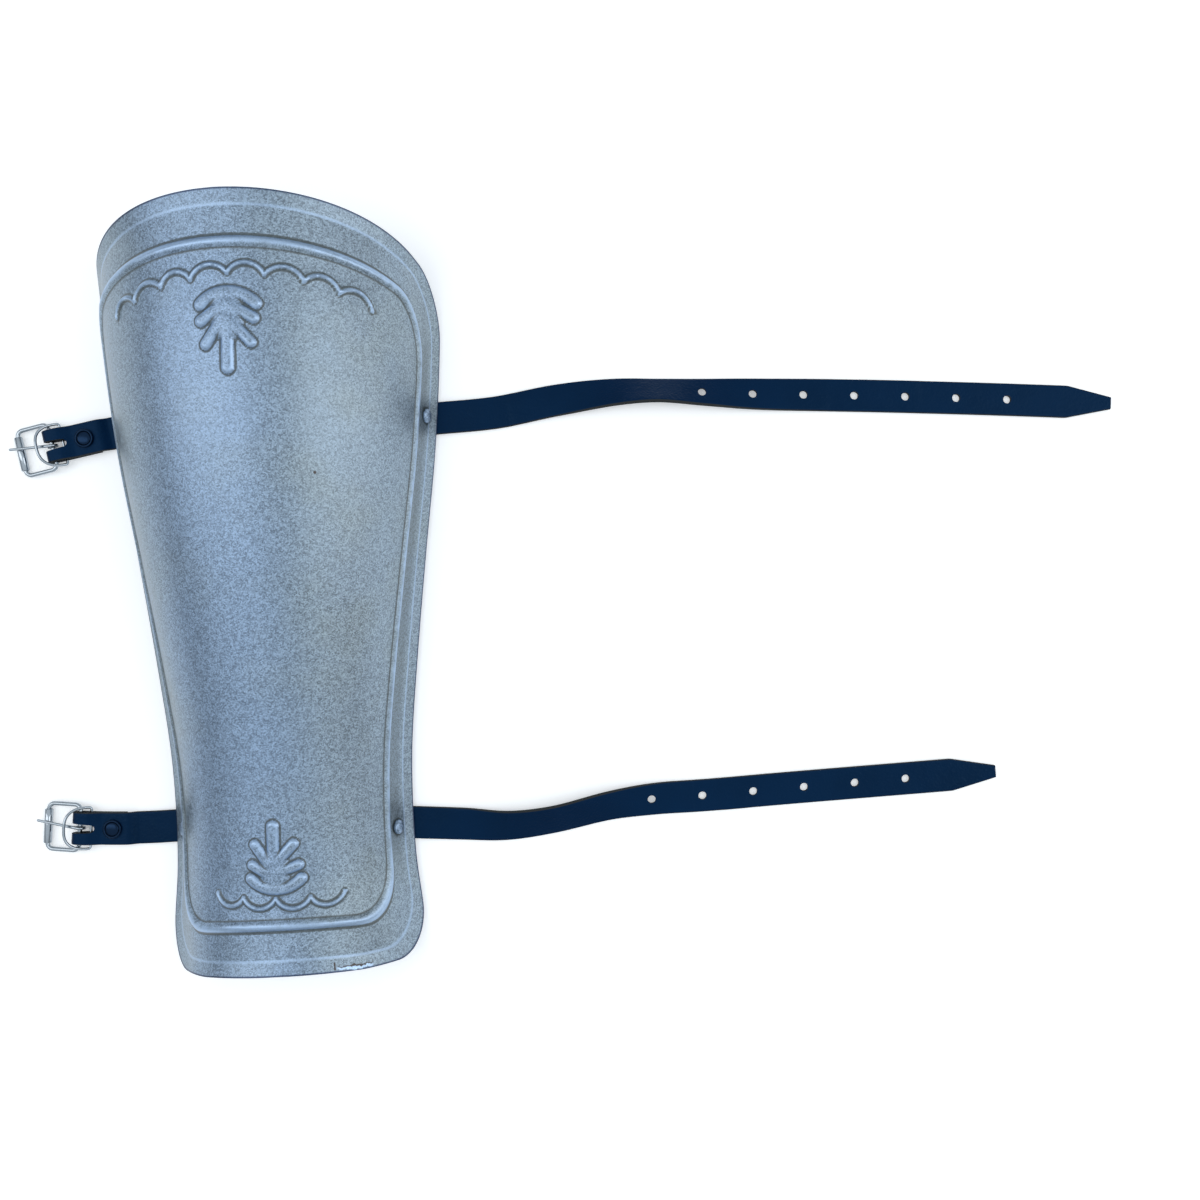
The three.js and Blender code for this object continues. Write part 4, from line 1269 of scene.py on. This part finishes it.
def paint_material(look):
    """Silver metallic paint: flecked grain; a painted reflection, bluest down the middle and greyer
    to the sides; painted shade beside the bead; dark dirt and painted shade in grooves, and a
    painted shadow round the rivets; paler ridges, partly rubbed paint and partly painted highlight,
    and a painted highlight along the rim crease; a dark cut edge; and chips with bare dark steel at
    the ankle's edge."""
    grain = shared_group("Fine grain", grain_group)
    wear_and_light = shared_group("Groove dirt and shade", wear_and_light_group)
    chips = shared_group("Rim chips", chips_group)
    material, tree, shader, place = new_material("silver_paint")
    across, along = attribute(tree, "across"), attribute(tree, "along")
    edge = attribute(tree, "from_edge")
    speckle = use_group(tree, grain, {"Vector": place, "Size": look.grain})
    fleck, cloud = speckle.outputs["Fleck"], speckle.outputs["Cloud"]
    worn_and_lit = use_group(tree, wear_and_light, {"Vector": place, "Cavity": attribute(tree, "cavity")})
    dirt_and_shade, rub_and_highlight = worn_and_lit.outputs["Dirt and shade"], worn_and_lit.outputs["Rub and highlight"]
    marks = use_group(
        tree, chips, {"Vector": place, "From edge": edge, "Across": across, "Along": along}
    )
    flake, crack = marks.outputs["Flake"], marks.outputs["Crack"]

    def times(a, b):
        return maths(tree, "MULTIPLY", a, b)

    def between(value, rise, fall):
        return times(stepped(tree, value, *rise), stepped(tree, value, *fall))

    # Painted reflection: bluer where the plate faces the sky, greyer down the flanks, mixed with
    # random grey patches of the paint
    off_middle = maths(tree, "ABSOLUTE", maths(tree, "SUBTRACT", across, SKY_REFLECTION_ACROSS))
    patches = times(stepped(tree, cloud, 0.42, 0.66), 0.22)
    grey_patches_and_reflection = maths(tree, "ADD", patches, stepped(tree, off_middle, *REFLECTION_GREYER_AT, 0.0, 0.6))
    low, high = GRAIN_RANGE
    dark = mixed(tree, grey_patches_and_reflection, opaque(look.paint, low), opaque(look.grey_and_shade_tint, low))
    pale = mixed(tree, grey_patches_and_reflection, opaque(look.paint, high), opaque(look.grey_and_shade_tint, high))
    base = mixed(tree, fleck, dark, pale)
    # Painted shade: a darker strip between rim and bead, fading out near the plate's ends
    painted_shade_strip = times(between(edge, *PAINTED_SHADE_BESIDE_BEAD), between(along, *PAINTED_SHADE_ALONG))
    base = mixed(tree, times(painted_shade_strip, 0.42), base, opaque(look.grey_and_shade_tint, 0.38))
    # Painted shadow: a dark ring round each rivet's head
    here = add_node(tree, "ShaderNodeCombineXYZ", {0: across, 1: along}).outputs[0]
    for name in STRAP_ROWS:
        for side in (1, -1):
            _, y, inset = rivet_place(name, side)
            seat = (side * (float(section(np.array(y))[3]) - inset), y, 0.0)
            off = add_node(tree, "ShaderNodeVectorMath", {0: here, 1: seat}, operation="DISTANCE")
            rivet_shadow = stepped(tree, off.outputs["Value"], *RIVET_PAINTED_SHADOW)
            base = mixed(tree, times(rivet_shadow, 0.75), base, opaque(look.dirt_and_shade))
    # Dirt and painted shade darken grooves and the bead's outer foot; rubbed paint and painted
    # highlights lighten ridges
    base = mixed(tree, times(dirt_and_shade, 0.8), base, opaque(look.dirt_and_shade))
    base = mixed(tree, times(rub_and_highlight, 0.7), base, opaque(look.paint, 1.75))
    # Painted highlight: a pale line along the rim's crease
    crease_highlight = between(edge, *CREASE_HIGHLIGHT)
    base = mixed(tree, times(crease_highlight, 0.45), base, opaque(look.paint, 1.9))
    base = mixed(tree, times(stepped(tree, edge, *CUT_EDGE), 0.9), base, opaque(look.edge))
    base = mixed(tree, flake, base, opaque(look.paint, 1.9))
    base = mixed(tree, crack, base, opaque(look.bare))
    tree.links.new(base, shader.inputs["Base Color"])
    clean = times(maths(tree, "SUBTRACT", 1.0, dirt_and_shade), maths(tree, "SUBTRACT", 1.0, crack))
    tree.links.new(times(clean, look.metal), shader.inputs["Metallic"])
    rough = stepped(tree, fleck, 0.0, 1.0, look.roughness - 0.07, look.roughness + 0.07)
    tree.links.new(rough, shader.inputs["Roughness"])
    inputs = {"Strength": 0.35, "Distance": 0.00012, "Height": speckle.outputs["Height"]}
    bump = add_node(tree, "ShaderNodeBump", inputs)
    tree.links.new(bump.outputs[0], shader.inputs["Normal"])
    return material


def leather_material(look):
    """Blue-black finished leather: a pebbled, slightly creased face, a brown-grey flesh side and
    dark cut edges, told apart by the sides the strap's UV map marks."""
    grain = shared_group("Fine grain", grain_group)
    material, tree, shader, place = new_material("blue_black_leather")
    shader.inputs["Specular IOR Level"].default_value = 0.15
    shader.inputs["Specular Tint"].default_value = (0.3, 0.65, 1.0, 1.0)
    marks = add_node(tree, "ShaderNodeUVMap", uv_map="sides").outputs[0]
    parts = add_node(tree, "ShaderNodeSeparateXYZ", {0: marks})
    face, flesh = parts.outputs[0], parts.outputs[1]
    speckle = use_group(tree, grain, {"Vector": place, "Size": look.pebble})
    cloud = speckle.outputs["Cloud"]
    base = mixed(tree, cloud, opaque(look.leather, 0.7), opaque(look.leather, 1.5))
    raw = mixed(tree, speckle.outputs["Fleck"], opaque(look.flesh, 0.7), opaque(look.flesh, 1.3))
    body = mixed(tree, face, opaque(look.cut_edge), base)
    body = mixed(tree, flesh, body, raw)
    tree.links.new(body, shader.inputs["Base Color"])
    gloss = stepped(tree, cloud, 0.3, 0.7, look.gloss - 0.06, look.gloss + 0.1)
    rough = add_node(tree, "ShaderNodeMix", {0: face, 2: 0.75, 3: gloss}).outputs[0]
    tree.links.new(rough, shader.inputs["Roughness"])
    cells = {"Vector": place, "Scale": 1 / look.pebble}
    pebbles = add_node(tree, "ShaderNodeTexVoronoi", cells, feature="SMOOTH_F1").outputs["Distance"]
    creases = noise(tree, place, 240.0, 4.0, 0.62)
    height = maths(tree, "ADD", maths(tree, "MULTIPLY", pebbles, 0.5), creases)
    bump = add_node(tree, "ShaderNodeBump", {"Strength": 0.6, "Distance": 0.0004, "Height": height})
    tree.links.new(bump.outputs[0], shader.inputs["Normal"])
    return material


def wire_material(name, colour, roughness):
    """Bright plated metal: faint drawing marks and a slight change of polish."""
    grain = shared_group("Fine grain", grain_group)
    material, tree, shader, place = new_material(name)
    speckle = use_group(tree, grain, {"Vector": place, "Size": 0.0006})
    base = mixed(tree, speckle.outputs["Cloud"], opaque(colour, 0.85), opaque(colour, 1.1))
    tree.links.new(base, shader.inputs["Base Color"])
    shader.inputs["Metallic"].default_value = 1.0
    rough = stepped(tree, speckle.outputs["Fleck"], 0.0, 1.0, roughness - 0.04, roughness + 0.06)
    tree.links.new(rough, shader.inputs["Roughness"])
    inputs = {"Strength": 0.12, "Distance": 0.00005, "Height": speckle.outputs["Height"]}
    bump = add_node(tree, "ShaderNodeBump", inputs)
    tree.links.new(bump.outputs[0], shader.inputs["Normal"])
    return material


# What a user would change

COLOUR = {"subtype": "COLOR", "size": 3, "min": 0.0, "max": 1.0}
LENGTH = {"unit": "LENGTH", "subtype": "DISTANCE"}


class GreavePlateLook(bpy.types.PropertyGroup):
    ornament: bpy.props.FloatProperty(
        name="Ornament height",
        description="Rise of the leaves over the panel",
        default=0.0018,
        **LENGTH,
    )
    paint: bpy.props.FloatVectorProperty(
        name="Paint", description="Silver paint", default=(0.25, 0.34, 0.47), **COLOUR
    )
    # Greyer paint in patches, and also the tint of the painted reflection down the flanks and of
    # the painted shade beside the bead
    grey_and_shade_tint: bpy.props.FloatVectorProperty(
        name="Grey and shade tint",
        description="Greyer paint in patches",
        default=(0.255, 0.31, 0.34),
        **COLOUR,
    )
    # Dirt and painted shade in grooves, and the painted shadow round the rivets
    dirt_and_shade: bpy.props.FloatVectorProperty(
        name="Dirt and shade", description="Dirt held in grooves", default=(0.05, 0.06, 0.055), **COLOUR
    )
    edge: bpy.props.FloatVectorProperty(
        name="Cut edge",
        description="The sheet's dark cut edge",
        default=(0.03, 0.045, 0.10),
        **COLOUR,
    )
    bare: bpy.props.FloatVectorProperty(
        name="Bare steel",
        description="Steel where the paint is chipped",
        default=(0.05, 0.035, 0.03),
        **COLOUR,
    )
    grain: bpy.props.FloatProperty(
        name="Grain",
        description="Size of the paint's flecks",
        default=0.00056,
        precision=5,
        **LENGTH,
    )
    metal: bpy.props.FloatProperty(
        name="Metal share",
        description="How metallic the paint is",
        default=0.78,
        min=0,
        max=1,
        subtype="FACTOR",
    )
    roughness: bpy.props.FloatProperty(
        name="Roughness",
        description="Roughness of the paint",
        default=0.4,
        min=0.1,
        max=0.9,
        subtype="FACTOR",
    )


class GreaveLeatherLook(bpy.types.PropertyGroup):
    leather: bpy.props.FloatVectorProperty(
        name="Face",
        description="The leather's finished face",
        default=(0.0005, 0.011, 0.040),
        **COLOUR,
    )
    flesh: bpy.props.FloatVectorProperty(
        name="Flesh side",
        description="The leather's raw underside",
        default=(0.045, 0.045, 0.05),
        **COLOUR,
    )
    cut_edge: bpy.props.FloatVectorProperty(
        name="Cut edges", description="Edges and holes", default=(0.030, 0.030, 0.028), **COLOUR
    )
    pebble: bpy.props.FloatProperty(
        name="Pebble",
        description="Size of the leather's pebbling",
        default=0.0009,
        precision=5,
        **LENGTH,
    )
    gloss: bpy.props.FloatProperty(
        name="Roughness",
        description="Roughness of the finished face",
        default=0.33,
        min=0.1,
        max=0.9,
        subtype="FACTOR",
    )


class GreaveMetalLook(bpy.types.PropertyGroup):
    nickel: bpy.props.FloatVectorProperty(
        name="Nickel", description="Buckle wire", default=(0.42, 0.465, 0.51), **COLOUR
    )
    cap: bpy.props.FloatVectorProperty(
        name="Cap", description="Dark rivet caps", default=(0.009, 0.022, 0.05), **COLOUR
    )
    polish: bpy.props.FloatProperty(
        name="Roughness",
        description="Roughness of the plated metal",
        default=0.13,
        min=0.05,
        max=0.9,
        subtype="FACTOR",
    )


class GreaveStageLook(bpy.types.PropertyGroup):
    floor: bpy.props.FloatVectorProperty(
        name="Floor", description="The surface it lies on", default=(0.93, 0.94, 0.95), **COLOUR
    )
    glow: bpy.props.FloatProperty(
        name="Floor glow", description="Light the floor gives off", default=0.3, min=0, max=2
    )
    sky: bpy.props.FloatProperty(
        name="Light overhead",
        description="Strength of the sky straight above",
        default=0.9,
        min=0,
        max=5,
    )
    horizon: bpy.props.FloatProperty(
        name="Light round about",
        description="Strength of the sky low down",
        default=0.2,
        min=0,
        max=5,
    )
    key: bpy.props.FloatProperty(
        name="Left light", description="Power of the left soft box", default=3.4, unit="POWER"
    )
    fill: bpy.props.FloatProperty(
        name="Right light", description="Power of the right soft box", default=6.0, unit="POWER"
    )


# Operators


class GREAVE_OT_plate(bpy.types.Operator):
    """Builds the stamped plate with its rim, bead, scallops and leaves"""

    bl_idname = "greave.plate"
    bl_label = "Stamped plate"

    def execute(self, context):
        look = context.scene.greave_plate
        mesh = plate_mesh(look.ornament / MM)
        material = paint_material(look)
        add_piece("stamped_plate", mesh, material, "root", "greave_plate", 42)
        return {"FINISHED"}


class GREAVE_OT_rivets(bpy.types.Operator):
    """Builds the four painted rivets that hold the straps"""

    bl_idname = "greave.rivets"
    bl_label = "Painted rivets"

    def execute(self, context):
        look = context.scene.greave_plate
        material = bpy.data.materials.get("silver_paint") or paint_material(look)
        for name in STRAP_ROWS:
            for side_name, side in (("right", 1), ("left", -1)):
                node = f"{name}_{side_name}_rivet"
                mesh = rivet_mesh(node, rivet_seat(*rivet_place(name, side)))
                add_piece(f"{node}_head", mesh, material, "root", node)
        return {"FINISHED"}


def add_strap(context, name, kind, mesh):
    """A leather strap, which rides on the greave itself."""
    material = bpy.data.materials.get("blue_black_leather")
    material = material or leather_material(context.scene.greave_leather)
    node = f"{name}_{kind}"
    add_piece(f"{node}_leather", mesh, material, "root", node)


class GREAVE_OT_long_straps(bpy.types.Operator):
    """Builds the two long punched straps"""

    bl_idname = "greave.long_straps"
    bl_label = "Long straps"

    def execute(self, context):
        for name in STRAP_ROWS:
            add_strap(context, name, "long_strap", long_strap_mesh(name))
        return {"FINISHED"}


class GREAVE_OT_buckle_straps(bpy.types.Operator):
    """Builds the two short straps folded round their buckles"""

    bl_idname = "greave.buckle_straps"
    bl_label = "Buckle straps"

    def execute(self, context):
        for name in STRAP_ROWS:
            add_strap(context, name, "buckle_strap", buckle_strap_mesh(name, BucklePlan(name)))
        return {"FINISHED"}


class GREAVE_OT_cap_rivets(bpy.types.Operator):
    """Builds the dark caps on the buckle straps"""

    bl_idname = "greave.cap_rivets"
    bl_label = "Dark cap rivets"

    def execute(self, context):
        look = context.scene.greave_metal
        material = wire_material("dark_cap_polish", look.cap, look.polish + 0.08)
        for name in STRAP_ROWS:
            mesh = cap_rivet_mesh(name, BucklePlan(name))
            node = f"{name}_cap_rivet"
            add_piece(f"{node}_dome", mesh, material, "root", node)
        return {"FINISHED"}


def add_buckle_pieces(context, kind, body, solid, back, height, tilt=0.0, shift=0.0):
    """The same wire piece on both buckles: its local solid set so far back from the fold and so
    high, tilted, and shifted along the tilted way."""
    look = context.scene.greave_metal
    material = bpy.data.materials.get("bright_nickel")
    material = material or wire_material("bright_nickel", look.nickel, look.polish)
    local, faces = solid
    for name in STRAP_ROWS:
        node = f"{name}_{kind}"
        points = BucklePlan(name).placed(local, back, height, tilt, shift)
        mesh = new_mesh(f"{node}_wire", points, faces)
        add_piece(f"{node}_wire", mesh, material, f"{name}_{body}", node)


class GREAVE_OT_frames(bpy.types.Operator):
    """Builds the buckles' wire frames"""

    bl_idname = "greave.frames"
    bl_label = "Buckle frames"

    def execute(self, context):
        solid = wire_loop(frame_outline(), WIRE_DIAMETER)
        place = (PIVOT_FROM_FOLD, PIVOT_HEIGHT, FRAME_TILT)
        add_buckle_pieces(context, "buckle_frame", "frame", solid, *place)
        return {"FINISHED"}


class GREAVE_OT_rollers(bpy.types.Operator):
    """Builds the rollers on the frames' far bars"""

    bl_idname = "greave.rollers"
    bl_label = "Buckle rollers"

    def execute(self, context):
        place = (PIVOT_FROM_FOLD, PIVOT_HEIGHT, FRAME_TILT, FRAME_LENGTH)
        add_buckle_pieces(context, "buckle_roller", "roller", roller_solid(), *place)
        return {"FINISHED"}


class GREAVE_OT_tongues(bpy.types.Operator):
    """Builds the tongues looped on the frames' heel bars"""

    bl_idname = "greave.tongues"
    bl_label = "Buckle tongues"

    def execute(self, context):
        place = (PIVOT_FROM_FOLD, PIVOT_HEIGHT)
        add_buckle_pieces(context, "buckle_tongue", "tongue", tongue_solid(), *place)
        return {"FINISHED"}


class GREAVE_OT_keepers(bpy.types.Operator):
    """Builds the D-shaped keeper rings held in the folds"""

    bl_idname = "greave.keepers"
    bl_label = "Keeper rings"

    def execute(self, context):
        solid = wire_loop(keeper_outline(), KEEPER_WIRE)
        place = (KEEPER_FROM_FOLD, STRAP_THICKNESS + GAP + KEEPER_WIRE / 2, -KEEPER_TILT)
        add_buckle_pieces(context, "keeper_ring", "keeper", solid, *place)
        return {"FINISHED"}


class GREAVE_OT_stage(bpy.types.Operator):
    """Sets the pale floor, the soft lights and the camera straight above"""

    bl_idname = "greave.stage"
    bl_label = "Floor, lights and camera"

    def execute(self, context):
        look = context.scene.greave_stage
        scene = context.scene
        material, tree, shader, place = new_material("pale_floor")
        even = noise(tree, place, 3.0)
        colour = mixed(tree, even, opaque(look.floor, 0.995), opaque(look.floor, 1.005))
        tree.links.new(colour, shader.inputs["Base Color"])
        shader.inputs["Roughness"].default_value = 0.9
        shader.inputs["Emission Color"].default_value = (1.0, 1.0, 1.0, 1.0)
        shader.inputs["Emission Strength"].default_value = look.glow
        half = FLOOR_HALF_SIZE
        mesh = bpy.data.meshes.new("floor")
        corners = [(-half, -half, 0), (half, -half, 0), (half, half, 0), (-half, half, 0)]
        mesh.from_pydata(corners, [], [(0, 1, 2, 3)])
        mesh.materials.append(material)
        floor = bpy.data.objects.new("floor", mesh)
        scene.collection.objects.link(floor)

        world = bpy.data.worlds.new("even_light")
        world.use_nodes = True
        tree = world.node_tree
        ray = tree.nodes.new("ShaderNodeTexCoord").outputs["Generated"]
        height = add_node(tree, "ShaderNodeSeparateXYZ", {0: ray}).outputs[2]
        strength = stepped(tree, height, 0.0, SKY_TOP, look.horizon, look.sky)
        background = tree.nodes["Background"]
        background.inputs[0].default_value = SKY_COLOUR
        tree.links.new(strength, background.inputs[1])
        scene.world = world
        for name, power, (at, size) in (
            ("left_box", look.key, LEFT_BOX),
            ("right_box", look.fill, RIGHT_BOX),
        ):
            data = bpy.data.lights.new(name, "AREA")
            data.shape = "RECTANGLE"
            data.size, data.size_y = size
            data.energy = power
            lamp = bpy.data.objects.new(name, data)
            lamp.location = at
            aim = Vector((ORIGIN[0], ORIGIN[1], BOXES_AIM_HEIGHT)) - Vector(at)
            lamp.rotation_euler = aim.to_track_quat("-Z", "Y").to_euler()
            scene.collection.objects.link(lamp)

        data = bpy.data.cameras.new("camera")
        data.lens = CAMERA_LENS
        data.sensor_width = CAMERA_LENS
        camera = bpy.data.objects.new("camera", data)
        camera.location = np.array([*CAMERA_FOOT, CAMERA_HEIGHT]) * MM + ORIGIN
        camera.rotation_euler = (0, 0, CAMERA_TURN)
        scene.collection.objects.link(camera)
        scene.camera = camera
        scene.view_settings.view_transform = "Standard"
        return {"FINISHED"}


OPERATORS = [
    GREAVE_OT_stage,
    GREAVE_OT_plate,
    GREAVE_OT_rivets,
    GREAVE_OT_long_straps,
    GREAVE_OT_buckle_straps,
    GREAVE_OT_cap_rivets,
    GREAVE_OT_frames,
    GREAVE_OT_rollers,
    GREAVE_OT_tongues,
    GREAVE_OT_keepers,
]
LOOKS = {
    "greave_plate": GreavePlateLook,
    "greave_leather": GreaveLeatherLook,
    "greave_metal": GreaveMetalLook,
    "greave_stage": GreaveStageLook,
}


class GREAVE_PT_panel(bpy.types.Panel):
    """Lists the greave's sizes and colours, and the pieces to build"""

    bl_label = "Greave"
    bl_idname = "GREAVE_PT_panel"
    bl_space_type = "VIEW_3D"
    bl_region_type = "UI"
    bl_category = "Greave"

    def draw(self, context):
        for name, look in LOOKS.items():
            box = self.layout.box()
            for prop in look.__annotations__:
                box.prop(getattr(context.scene, name), prop)
        for operator in OPERATORS:
            self.layout.operator(operator.bl_idname)


def register():
    for look in LOOKS.values():
        bpy.utils.register_class(look)
    for name, look in LOOKS.items():
        setattr(bpy.types.Scene, name, bpy.props.PointerProperty(type=look))
    for kind in [*OPERATORS, GREAVE_PT_panel]:
        bpy.utils.register_class(kind)


def unregister():
    for kind in [GREAVE_PT_panel, *reversed(OPERATORS)]:
        bpy.utils.unregister_class(kind)
    for name, look in LOOKS.items():
        delattr(bpy.types.Scene, name)
        bpy.utils.unregister_class(look)


def main():
    register()
    bpy.ops.greave.stage()
    bpy.ops.greave.plate()
    bpy.ops.greave.rivets()
    bpy.ops.greave.long_straps()
    bpy.ops.greave.buckle_straps()
    bpy.ops.greave.cap_rivets()
    bpy.ops.greave.frames()
    bpy.ops.greave.rollers()
    bpy.ops.greave.tongues()
    bpy.ops.greave.keepers()


if __name__ == "__main__":
    main()
